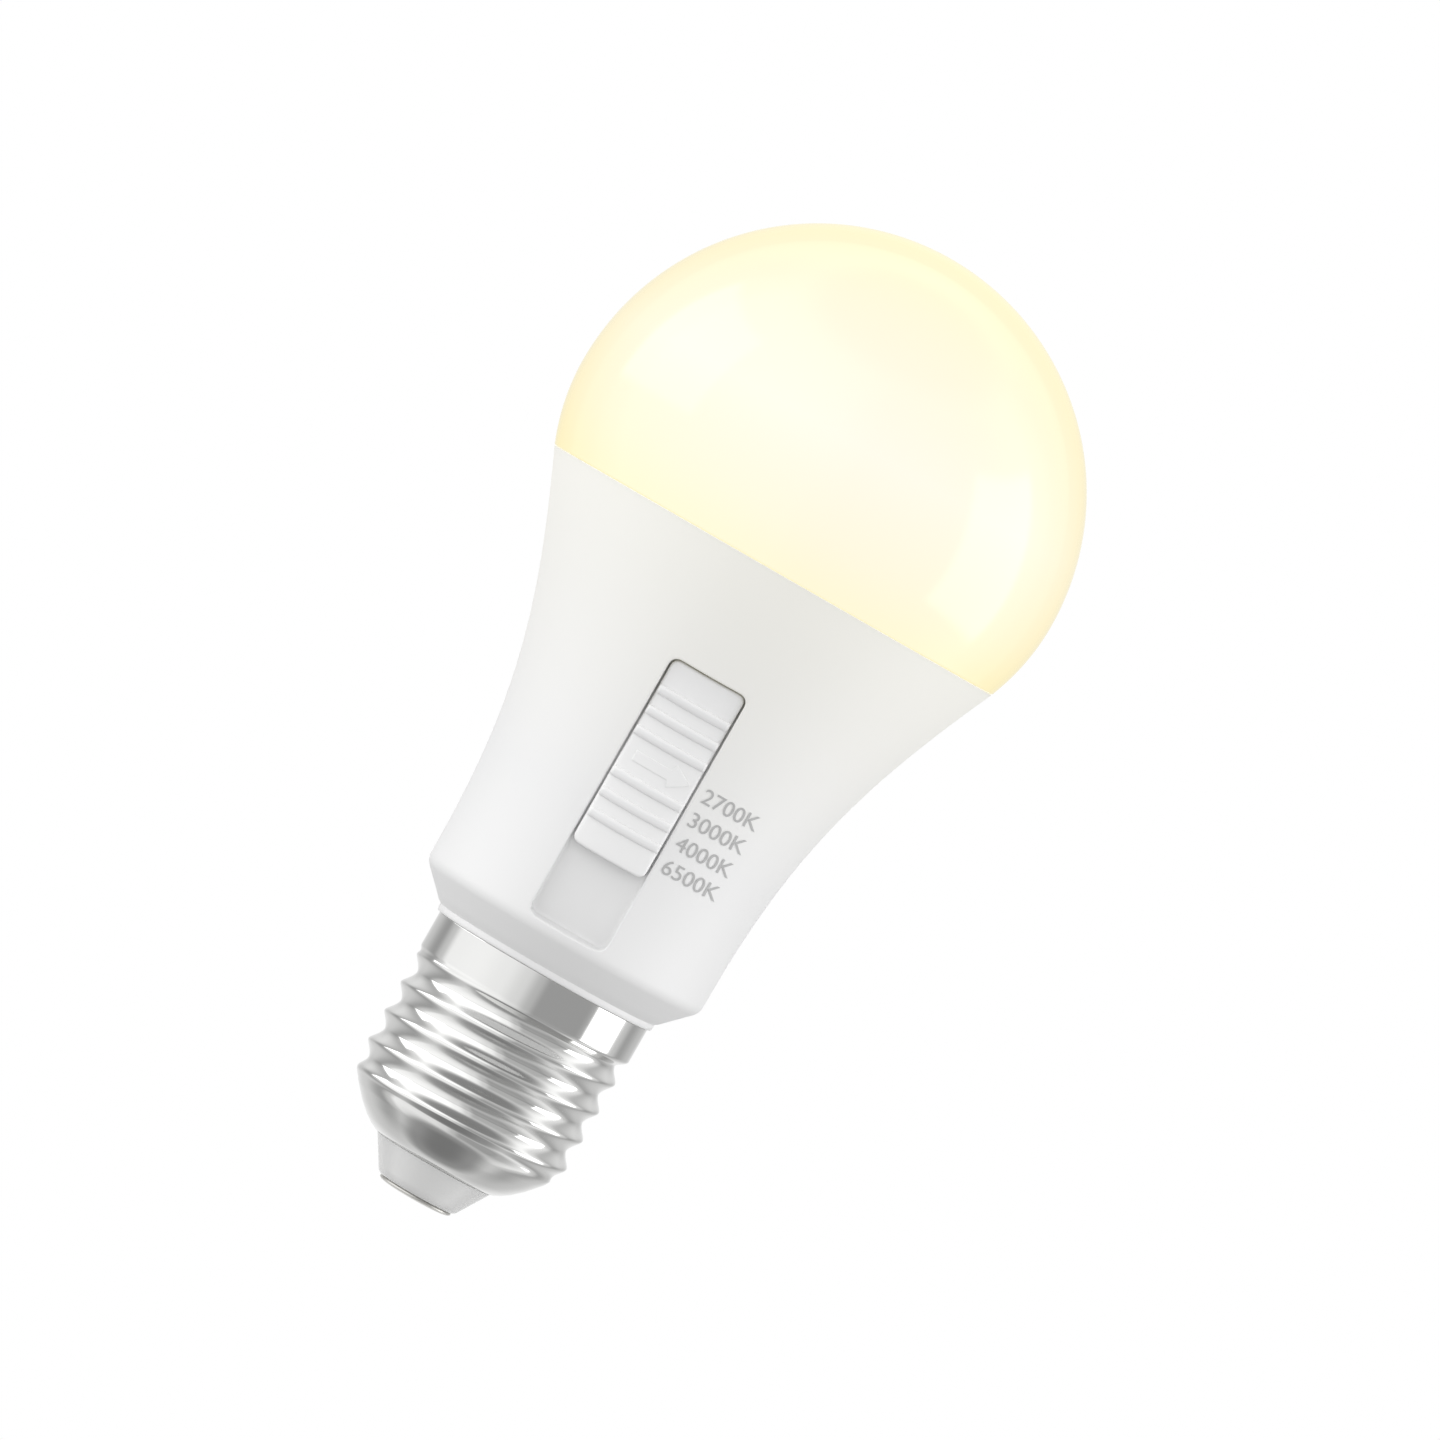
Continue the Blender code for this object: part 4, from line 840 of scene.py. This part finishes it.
def makeInsulator():
    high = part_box("cap_insulator")[1]
    top = capLow.z + foot["shoulderRise"]
    wide, plug, edge, end = foot["shoulder"], foot["plug"], foot["edge"], foot["end"]
    bore = foot["rivet"] + body["gap"]
    outline = [(plug - edge, high.z), (plug, high.z - edge), (plug, top)]
    outline += [(wide - edge, top), (wide, top - edge)]
    slope = Vector((foot["endRadius"] - wide, end - top + edge))
    for share in foot["coneShares"]:
        outline.append((wide + slope.x * share, top - edge + slope.y * share))
    inward, up, flat = foot["endRound"]
    outline += [(foot["endRadius"] - inward, end + up), (foot["endRadius"] - flat, end)]
    outline += [(bore + edge, end), (bore, end + edge), (bore, high.z)]
    obj = turnedPiece("insulating_cone", outline, foot["turns"], closed=True)
    smooth(obj, foot["sharpAngle"])
    return obj


def makeContact():
    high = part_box("centre_contact")[1]
    wide, top, flat, rivet = high.x, contact["top"], contact["flat"], foot["rivet"]
    out, up = contact["rootRound"]
    outline = [(0, high.z), (rivet * contact["headShare"], high.z)]
    outline += [(rivet, high.z - contact["headDrop"]), (rivet, top + up)]
    outline += [(rivet + out, top), (wide - contact["rim"], top)]
    upper, lower = contact["rimDrops"]
    outline += [(wide, top - upper), (wide - contact["rimIn"], top - lower)]
    bulge, depth = wide - flat - contact["bulgeIn"], top - contact["bulgeDrop"]
    for share in contact["bulgeShares"]:
        a = math.pi / 2 * share
        outline.append((flat + bulge * math.cos(a), depth * (1 - math.sin(a))))
    outline += [(flat, 0), (0, 0)]
    obj = turnedPiece("contact_button", outline, foot["turns"])
    smooth(obj, foot["sharpAngle"])
    return obj


# Scale beside the track: plain colour temperatures

scale = {
    "values": ("2700K", "3000K", "4000K", "6500K"),
    "top": 55.4 * mm,
    "step": 2.97 * mm,
    "left": 5.75 * mm,
    "width": 6.85 * mm,
    "height": 1.75 * mm,
    "thickness": 0.06 * mm,
    "textSize": 2.2 * mm,
    "curveSteps": 5,
}


def makeScaleMark(index, value):
    bpy.ops.object.text_add(location=(0, 0, 0))
    text = bpy.context.active_object
    text.data.body = value
    text.data.size = scale["textSize"]
    text.data.extrude = scale["thickness"] / 2
    text.data.resolution_u = scale["curveSteps"]
    bpy.ops.object.convert(target="MESH")
    obj = newPiece(f"scale_mark_{index}")
    editAll(obj)
    bpy.ops.mesh.remove_doubles(threshold=weldReach / 2)
    bpy.ops.mesh.quads_convert_to_tris()
    leaveEdit()
    co = np.array([vertex.co for vertex in obj.data.vertices])
    low, high = co.min(axis=0), co.max(axis=0)
    middle = scale["top"] - index * scale["step"]
    for vertex in obj.data.vertices:
        x = scale["left"] + (vertex.co.x - low[0]) / (high[0] - low[0]) * scale["width"]
        z = middle + ((vertex.co.y - low[1]) / (high[1] - low[1]) - 0.5) * scale["height"]
        radius = skinRadius(z) + 0.5 * scale["thickness"] + vertex.co.z
        vertex.co = (x, -math.sqrt(radius**2 - x**2), z)
    return obj


# Node groups that the finishes share

def newGroup(name, inputs, outputs):
    group = bpy.data.node_groups.new(name, "ShaderNodeTree")
    for direction, sockets in (("INPUT", inputs), ("OUTPUT", outputs)):
        for label, kind in sockets.items():
            group.interface.new_socket(label, in_out=direction, socket_type=f"NodeSocket{kind}")
    return group, group.nodes.new("NodeGroupInput"), group.nodes.new("NodeGroupOutput")


# Adds a node and gives its inputs, each a plain value or a socket to link from
def addNode(tree, kind, inputs=None, **settings):
    node = tree.nodes.new(f"ShaderNode{kind}")
    for key, value in settings.items():
        setattr(node, key, value)
    giveInputs(tree, node, inputs or {})
    return node


def giveInputs(tree, node, inputs):
    for key, value in inputs.items():
        if hasattr(value, "is_output"):
            tree.links.new(value, node.inputs[key])
        else:
            node.inputs[key].default_value = value


def mathNode(tree, operation, *values):
    return addNode(tree, "Math", dict(enumerate(values)), operation=operation).outputs[0]


def product(tree, first, *others):
    for other in others:
        first = mathNode(tree, "MULTIPLY", first, other)
    return first


# Where a value lies between two limits, from 0 to 1
def shareNode(tree, value, low, high, interpolation="LINEAR"):
    inputs = {"Value": value, "From Min": low, "From Max": high}
    return addNode(tree, "MapRange", inputs, interpolation_type=interpolation).outputs[0]


# A colour ramp's output, from stops of (position, colour)
def rampNode(tree, value, stops, interpolation="LINEAR"):
    node = addNode(tree, "ValToRGB", {0: value})
    ramp = node.color_ramp
    ramp.interpolation = interpolation
    while len(ramp.elements) < len(stops):
        ramp.elements.new(0.5)
    for element, (position, colour) in zip(ramp.elements, stops):
        element.position = position
        element.color = (*colour, 1)
    return node.outputs["Color"]


def axesNode(tree, space):
    place = addNode(tree, "TexCoord")
    return addNode(tree, "SeparateXYZ", {0: place.outputs[space]})


# One shader for the camera's rays and another for all the rest
def splitByCamera(tree, seen, unseen, end):
    rays = addNode(tree, "LightPath")
    mix = addNode(tree, "MixShader", {0: rays.outputs["Is Camera Ray"], 1: unseen, 2: seen})
    giveInputs(tree, tree.nodes[end], {"Surface": mix.outputs[0]})


# Fine moulded or cast grain: a mottled colour, a roughness and a height
def makeGrainGroup():
    group, start, end = newGroup(
        "mouldedGrain",
        {"Scale": "Float", "Roughness": "Float", "Spread": "Float", "Colour": "Color",
         "Shade": "Color", "Mottle": "Float"},
        {"Colour": "Color", "Roughness": "Float", "Height": "Float"},
    )
    given = start.outputs
    place = addNode(group, "TexCoord").outputs["Object"]
    fine = addNode(group, "TexNoise", {"Vector": place, "Scale": given["Scale"], "Detail": 4})
    broad = addNode(group, "TexNoise", {"Vector": place, "Scale": given["Mottle"], "Detail": 3})
    # The colour inputs of a Mix node are its sockets 6 and 7
    colours = {"Factor": broad.outputs["Fac"], 6: given["Colour"], 7: given["Shade"]}
    mix = addNode(group, "Mix", colours, data_type="RGBA")
    vary = mathNode(group, "SUBTRACT", fine.outputs["Fac"], 0.5)
    rough = mathNode(group, "MULTIPLY_ADD", vary, given["Spread"], given["Roughness"])
    made = {"Colour": mix.outputs[2], "Roughness": rough, "Height": fine.outputs["Fac"]}
    giveInputs(group, end, made)
    return group


# Lines that repeat along one direction: spun metal, windings, traces
def makeStripeGroup():
    group, start, end = newGroup(
        "fineLines", {"Stretch": "Vector", "Scale": "Float"}, {"Height": "Float"}
    )
    place = addNode(group, "TexCoord").outputs["Object"]
    inputs = {0: place, 1: start.outputs["Stretch"]}
    stretch = addNode(group, "VectorMath", inputs, operation="MULTIPLY")
    inputs = {"Vector": stretch.outputs[0], "Scale": start.outputs["Scale"], "Detail": 2}
    noise = addNode(group, "TexNoise", inputs)
    giveInputs(group, end, {"Height": noise.outputs["Fac"]})
    return group


grainGroup = makeGrainGroup()
stripeGroup = makeStripeGroup()


# Finishes

def grey(level):
    return (level,) * 3


def newMaterial(name):
    material = bpy.data.materials.new(name)
    material.use_nodes = True
    return material


def giveShader(material, inputs):
    tree = material.node_tree
    giveInputs(tree, tree.nodes["Principled BSDF"], inputs)


# A Principled material with grain, mottling and, where asked, fine lines
def newFinish(name, colour, shade, roughness, metallic=0.0, grain=900.0, spreadBy=0.08, mottle=60.0,
              bump=0.05, bumpDepth=0.02 * mm, lines=None, coat=0.0, specular=0.5):
    material = newMaterial(name)
    tree = material.node_tree
    group = addNode(tree, "Group", node_tree=grainGroup, name="grain")
    giveInputs(tree, group, {"Scale": grain, "Roughness": roughness, "Spread": spreadBy,
                             "Colour": (*colour, 1), "Shade": (*shade, 1), "Mottle": mottle})
    height = group.outputs["Height"]
    if lines:
        stripes = addNode(tree, "Group", node_tree=stripeGroup)
        giveInputs(tree, stripes, {"Stretch": lines[0], "Scale": lines[1]})
        height = stripes.outputs["Height"]
    relief = addNode(tree, "Bump", {"Strength": bump, "Distance": bumpDepth, "Height": height})
    giveShader(material, {
        "Metallic": metallic, "Coat Weight": coat, "Specular IOR Level": specular,
        "Base Color": group.outputs["Colour"], "Roughness": group.outputs["Roughness"],
        "Normal": relief.outputs["Normal"],
    })
    return material


finishes = {
    "white_housing": newFinish("mattWhiteHousing", grey(0.76), grey(0.745), 0.5, grain=2600, bump=0.12,
        bumpDepth=0.01 * mm, specular=0.3),
    "white_button": newFinish("mattWhiteButton", grey(0.8), grey(0.785), 0.45, grain=3000, bump=0.1,
        bumpDepth=0.01 * mm, specular=0.3),
    "inner_nylon": newFinish("paleNylon", grey(0.75), grey(0.73), 0.5, grain=2200, bump=0.1),
    "nickel_cap": newFinish("rolledNickel", (0.8, 0.8, 0.79), (0.77, 0.77, 0.76), 0.08, 1.0,
        spreadBy=0.04, lines=((1, 1, 14), 260.0), bump=0.04, bumpDepth=0.01 * mm),
    "insulator_white": newFinish("paleInsulator", (0.68, 0.68, 0.675), (0.66, 0.66, 0.655), 0.2,
        grain=1500, bump=0.02, bumpDepth=0.005 * mm, coat=0.6),
    "contact_metal": newFinish("tinnedContact", (0.78, 0.77, 0.74), (0.66, 0.65, 0.62), 0.32, 1.0,
        lines=((1, 1, 6), 300.0), bump=0.2),
    "drawn_aluminium": newFinish("drawnAluminium", (0.72, 0.73, 0.74), (0.62, 0.63, 0.64), 0.36, 1.0,
        lines=((14, 14, 1), 120.0), bump=0.2),
    "silicone_seal": newFinish("softSilicone", (0.82, 0.82, 0.8), (0.74, 0.74, 0.71), 0.6, grain=600),
    "white_mask_board": newFinish("whiteSolderMask", (0.88, 0.88, 0.85), (0.82, 0.82, 0.79), 0.35,
        grain=1800),
    "green_board": newFinish("greenSolderMask", (0.03, 0.20, 0.08), (0.05, 0.28, 0.12), 0.35,
        lines=((1, 1, 1), 340.0), mottle=420.0, bump=0.3, coat=0.5),
    "blue_board": newFinish("blueSolderMask", (0.02, 0.08, 0.26), (0.04, 0.13, 0.36), 0.35,
        lines=((1, 1, 1), 380.0), mottle=420.0, bump=0.3, coat=0.5),
    "tinned_steel": newFinish("tinnedSteel", (0.74, 0.74, 0.75), (0.64, 0.64, 0.65), 0.3, 1.0,
        grain=700),
    "black_epoxy": newFinish("blackEpoxy", (0.02, 0.02, 0.022), (0.045, 0.045, 0.048), 0.45,
        grain=2400, bump=0.2),
    "capacitor_sleeve": newFinish("shrunkSleeve", (0.03, 0.03, 0.05), (0.06, 0.06, 0.09), 0.3,
        lines=((1, 1, 10), 90.0), bump=0.15, coat=0.6),
    "film_yellow": newFinish("filmCapacitorCase", (0.72, 0.46, 0.05), (0.60, 0.36, 0.04), 0.35,
        grain=900, coat=0.4),
    "ferrite": newFinish("sinteredFerrite", (0.05, 0.05, 0.055), grey(0.10), 0.55, grain=1600,
        bump=0.4),
    "copper_winding": newFinish("enamelledWinding", (0.62, 0.24, 0.08), (0.42, 0.14, 0.05), 0.3, 1.0,
        lines=((1, 1, 30), 130.0), bump=0.8, bumpDepth=0.1 * mm),
    "resistor_blue": newFinish("resistorLacquer", (0.15, 0.34, 0.48), (0.12, 0.28, 0.40), 0.35,
        grain=800, coat=0.5),
    "varistor_blue": newFinish("varistorEpoxy", (0.03, 0.12, 0.46), (0.02, 0.09, 0.36), 0.4, grain=700,
        bump=0.3),
    "red_wire": newFinish("redInsulation", (0.55, 0.03, 0.02), (0.45, 0.02, 0.02), 0.4, grain=600),
    "blue_wire": newFinish("blueInsulation", (0.03, 0.09, 0.42), (0.02, 0.07, 0.33), 0.4, grain=600),
    "grey_ribbon": newFinish("greyRibbon", (0.42, 0.42, 0.43), (0.34, 0.34, 0.35), 0.45,
        lines=((30, 1, 1), 110.0), bump=0.6, bumpDepth=0.08 * mm),
    "scale_ink": newFinish("greyScaleInk", grey(0.40), grey(0.43), 0.55, grain=3000),
}


# Warm light from inside, by the height's share from the seam to the crown
domeLight = {
    "stops": ((0.0, (0.95, 0.88, 0.72)), (0.15, (0.95, 0.88, 0.79)), (0.41, (0.95, 0.895, 0.88)),
              (0.7, (0.95, 0.89, 0.82)), (1.0, (0.95, 0.905, 0.79))),
    "glossFade": (0.45, 0.65),
    "gloss": 0.5,
    "index": 1.45,
    "coatIndex": 1.06,
    "coatRoughness": 0.1,
    "coatTint": (1.0, 0.985, 0.87, 1),
}
# Painted glow on the housing below the seam, standing in for the dome's light falling on it
paintedRimGlow = {"reach": 32.0 * mm, "level": 0.13, "colour": (1.0, 0.93, 0.56)}
ledGlow = 3.0


# Milky plastic lit from inside, whose gloss fades where it is seen from the side
def makeDomeFinish():
    material = newFinish("litMilkyPlastic", (0.08, 0.08, 0.078), (0.075, 0.075, 0.073), 0.1, grain=2000,
                         bump=0.03, bumpDepth=0.01 * mm, spreadBy=0.04)
    tree = material.node_tree
    rise = shareNode(tree, axesNode(tree, "Object").outputs["Z"], seamZ, domeHigh.z)
    facing = addNode(tree, "LayerWeight", {"Blend": 0.5})
    fade = shareNode(tree, facing.outputs["Facing"], *domeLight["glossFade"])
    giveInputs(tree, fade.node, {"To Min": domeLight["gloss"], "To Max": 0.0})
    giveShader(material, {
        "Emission Color": rampNode(tree, rise, domeLight["stops"]), "Emission Strength": 1.0,
        "IOR": domeLight["index"], "Specular IOR Level": fade, "Coat Weight": 1.0,
        "Coat Roughness": domeLight["coatRoughness"], "Coat IOR": domeLight["coatIndex"],
        "Coat Tint": domeLight["coatTint"],
    })
    return material


# Painted glow: the lit dome's light drawn as warm emission in the housing's wall, strongest at the rim
def addPaintedRimGlow(material):
    tree = material.node_tree
    height = axesNode(tree, "Object").outputs["Z"]
    rise = shareNode(tree, height, seamZ - paintedRimGlow["reach"], seamZ)
    colour = rampNode(tree, rise, ((0, grey(0)), (1, paintedRimGlow["colour"])))
    giveShader(material, {"Emission Color": colour, "Emission Strength": paintedRimGlow["level"]})


def makeLedFinish(name, colour, shade):
    material = newFinish(name, colour, shade, 0.4, grain=1500, mottle=500)
    glow = material.node_tree.nodes["grain"].outputs["Colour"]
    giveShader(material, {"Emission Color": glow, "Emission Strength": ledGlow})
    return material


finishes["milky_dome"] = makeDomeFinish()
# The housing gets a painted warm glow near the seam
addPaintedRimGlow(finishes["white_housing"])
finishes["warm_phosphor"] = makeLedFinish("warmPhosphor", (0.95, 0.55, 0.10), (0.90, 0.48, 0.08))
finishes["cool_phosphor"] = makeLedFinish("coolPhosphor", (0.93, 0.86, 0.36), (0.86, 0.78, 0.30))
print("finishes made:", len(finishes))


def paint(obj, finish):
    obj.data.materials.clear()
    obj.data.materials.append(finishes[finish])


# Gives a piece the finish of its slot or the finish given, and its body, and hides the CAD nodes that
# it stands for
def dress(obj, slotName, bodyName, *replaced, finish=None):
    paint(obj, finish or slotName)
    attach(obj, bodyName)
    if replaced:
        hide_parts(*replaced)


dress(makeDome(), "milky_dome", "bulb", "diffuser_dome")
print("dome done")
dress(makeHousing(), "white_housing", "bulb", "housing_shell")
print("housing done")
dress(makeTray(), "inner_nylon", "bulb", "selector_tray")
dress(makeButton(), "white_button", "selector", "selector_button")
print("selector done")
dress(makeCap(), "nickel_cap", "bulb", "screw_cap")
dress(makeInsulator(), "insulator_white", "bulb", "cap_insulator")
dress(makeContact(), "contact_metal", "bulb", "centre_contact")
print("cap done")
for index, value in enumerate(scale["values"]):
    dress(makeScaleMark(index, value), "white_housing", "bulb", finish="scale_ink")
print("scale done")

slotOfNode = {entry["node"]: entry["material_slot"] for entry in frame["record"]["subparts"]}
for name, obj in nodes.items():
    if slotOfNode.get(name) in finishes:
        paint(obj, slotOfNode[name])
print("frame nodes finished:", len(slotOfNode))


# Floor, light and camera

studio = {
    "floor": 6.0,
    "floorSides": 96,
    "floorShade": 0.75,
    "floorRoughness": 0.8,
    "lens": 300.0,
    "frameWidth": 160.3 * mm,
    "target": (3.17 * mm, 0, 63.2 * mm),
    "elevation": 0.8,
    "roll": 29.8,
    "clipEnd": 20.0,
    "fill": {"turn": 28, "rise": 16, "spread": 70, "strength": 0.9},
    "gain": 6.0,
    "poleStart": 0.7,
    "poleLevel": 0.24,
    # Level by the turn from the front in degrees, then its factor by height from -1 to 1
    "around": ((-180, 0.30), (-150, 0.22), (-122, 0.13), (-108, 0.22), (-96, 0.36), (-60, 0.37),
               (-30, 0.34), (-10, 0.28), (4, 0.19), (13, 0.13), (30, 0.13), (58, 0.13), (66, 0.16),
               (104, 0.32), (114, 0.22), (126, 0.14), (150, 0.2), (180, 0.30)),
    "heights": ((-1.0, 0.3), (-0.95, 0.45), (-0.85, 1.0), (-0.4, 1.1), (-0.05, 1.0), (0.1, 1.0),
                (0.4, 1.35), (0.8, 1.35), (0.93, 0.4), (1.0, 0.3)),
    "panels": (
        {"turn": -91, "halfTurn": 25, "rise": 0.32, "halfRise": 0.29, "soft": 0.03, "level": 1.5},
        {"turn": 87, "halfTurn": 19, "rise": 0.14, "halfRise": 0.42, "soft": 0.04, "level": 2.1},
    ),
}


def makeFloor():
    bpy.ops.mesh.primitive_circle_add(
        vertices=studio["floorSides"], radius=studio["floor"] / 2, fill_type="NGON"
    )
    floor = newPiece("pale_floor")
    material = newMaterial("paleFloor")
    shade = (*grey(studio["floorShade"]), 1)
    giveShader(material, {"Base Color": shade, "Roughness": studio["floorRoughness"]})
    tree = material.node_tree
    glow = addNode(tree, "Emission").outputs[0]
    splitByCamera(tree, glow, tree.nodes["Principled BSDF"].outputs[0], "Material Output")
    floor.data.materials.append(material)
    floor.visible_glossy = False
    floor.visible_diffuse = False


# Soft mask of a panel on both sides of its middle
def panelMask(tree, value, middle, half, soft):
    distance = mathNode(tree, "ABSOLUTE", mathNode(tree, "SUBTRACT", value, middle))
    return shareNode(tree, distance, half + soft, half - soft, "SMOOTHSTEP")


# Studio all round: a wide soft panel on the left, a strip on the right, grey between
def makeWorld():
    world = bpy.data.worlds.new("studio")
    bpy.context.scene.world = world
    world.use_nodes = True
    tree = world.node_tree
    axes = axesNode(tree, "Generated").outputs
    front = product(tree, axes["Y"], -1)
    turn = mathNode(tree, "ARCTAN2", axes["X"], front)
    share = shareNode(tree, turn, -math.pi, math.pi)
    stops = [((angle + 180) / 360, grey(level)) for angle, level in studio["around"]]
    around = rampNode(tree, share, stops, "EASE")
    stops = [((height + 1) / 2, grey(level / 2)) for height, level in studio["heights"]]
    overhead = rampNode(tree, shareNode(tree, axes["Z"], -1, 1), stops, "EASE")
    height = mathNode(tree, "ABSOLUTE", axes["Z"])
    pole = shareNode(tree, height, studio["poleStart"], 1, "SMOOTHSTEP")
    toPole = mathNode(tree, "SUBTRACT", studio["poleLevel"], around)
    level = mathNode(tree, "ADD", around, product(tree, toPole, pole))
    level = product(tree, level, overhead, studio["gain"])
    for panel in studio["panels"]:
        middle, half = math.radians(panel["turn"]), math.radians(panel["halfTurn"])
        across = panelMask(tree, turn, middle, half, panel["soft"])
        along = panelMask(tree, axes["Z"], panel["rise"], panel["halfRise"], panel["soft"])
        level = mathNode(tree, "ADD", level, product(tree, across, along, panel["level"]))
    back = tree.nodes["Background"]
    giveInputs(tree, back, {"Color": (1, 1, 1, 1), "Strength": level})
    white = addNode(tree, "Background", {"Color": (1, 1, 1, 1)})
    splitByCamera(tree, white.outputs[0], back.outputs[0], "World Output")


# Broad fill from the front right and a little under, unseen in reflections
def makeFill():
    fill = studio["fill"]
    bpy.ops.object.light_add(type="SUN")
    light = bpy.context.active_object
    light.name = "front_fill"
    light.data.energy = fill["strength"]
    light.data.angle = math.radians(fill["spread"])
    turn, rise = math.radians(fill["turn"]), math.radians(fill["rise"])
    toLight = Vector((math.sin(turn), -math.cos(turn), math.tan(rise)))
    light.rotation_euler = toLight.to_track_quat("Z", "Y").to_euler()
    light.visible_glossy = False


def makeCamera():
    camera = bpy.data.objects.new("camera", bpy.data.cameras.new("camera"))
    bpy.context.scene.collection.objects.link(camera)
    bpy.context.scene.camera = camera
    camera.data.lens = studio["lens"]
    distance = studio["frameWidth"] * studio["lens"] / camera.data.sensor_width
    rise = math.radians(studio["elevation"])
    back = Vector((0, -math.cos(rise), math.sin(rise)))
    camera.location = Vector(studio["target"]) + back * distance
    turn = back.to_track_quat("Z", "Y").to_matrix()
    roll = math.radians(studio["roll"])
    up = turn @ Vector((-math.sin(roll), math.cos(roll), 0))
    side = up.cross(back)
    camera.rotation_euler = Matrix((side, up, back)).transposed().to_euler()
    camera.data.clip_end = studio["clipEnd"]


makeFloor()
makeWorld()
makeFill()
makeCamera()
bpy.context.scene.view_settings.view_transform = "Standard"
bpy.context.scene.view_settings.look = "None"
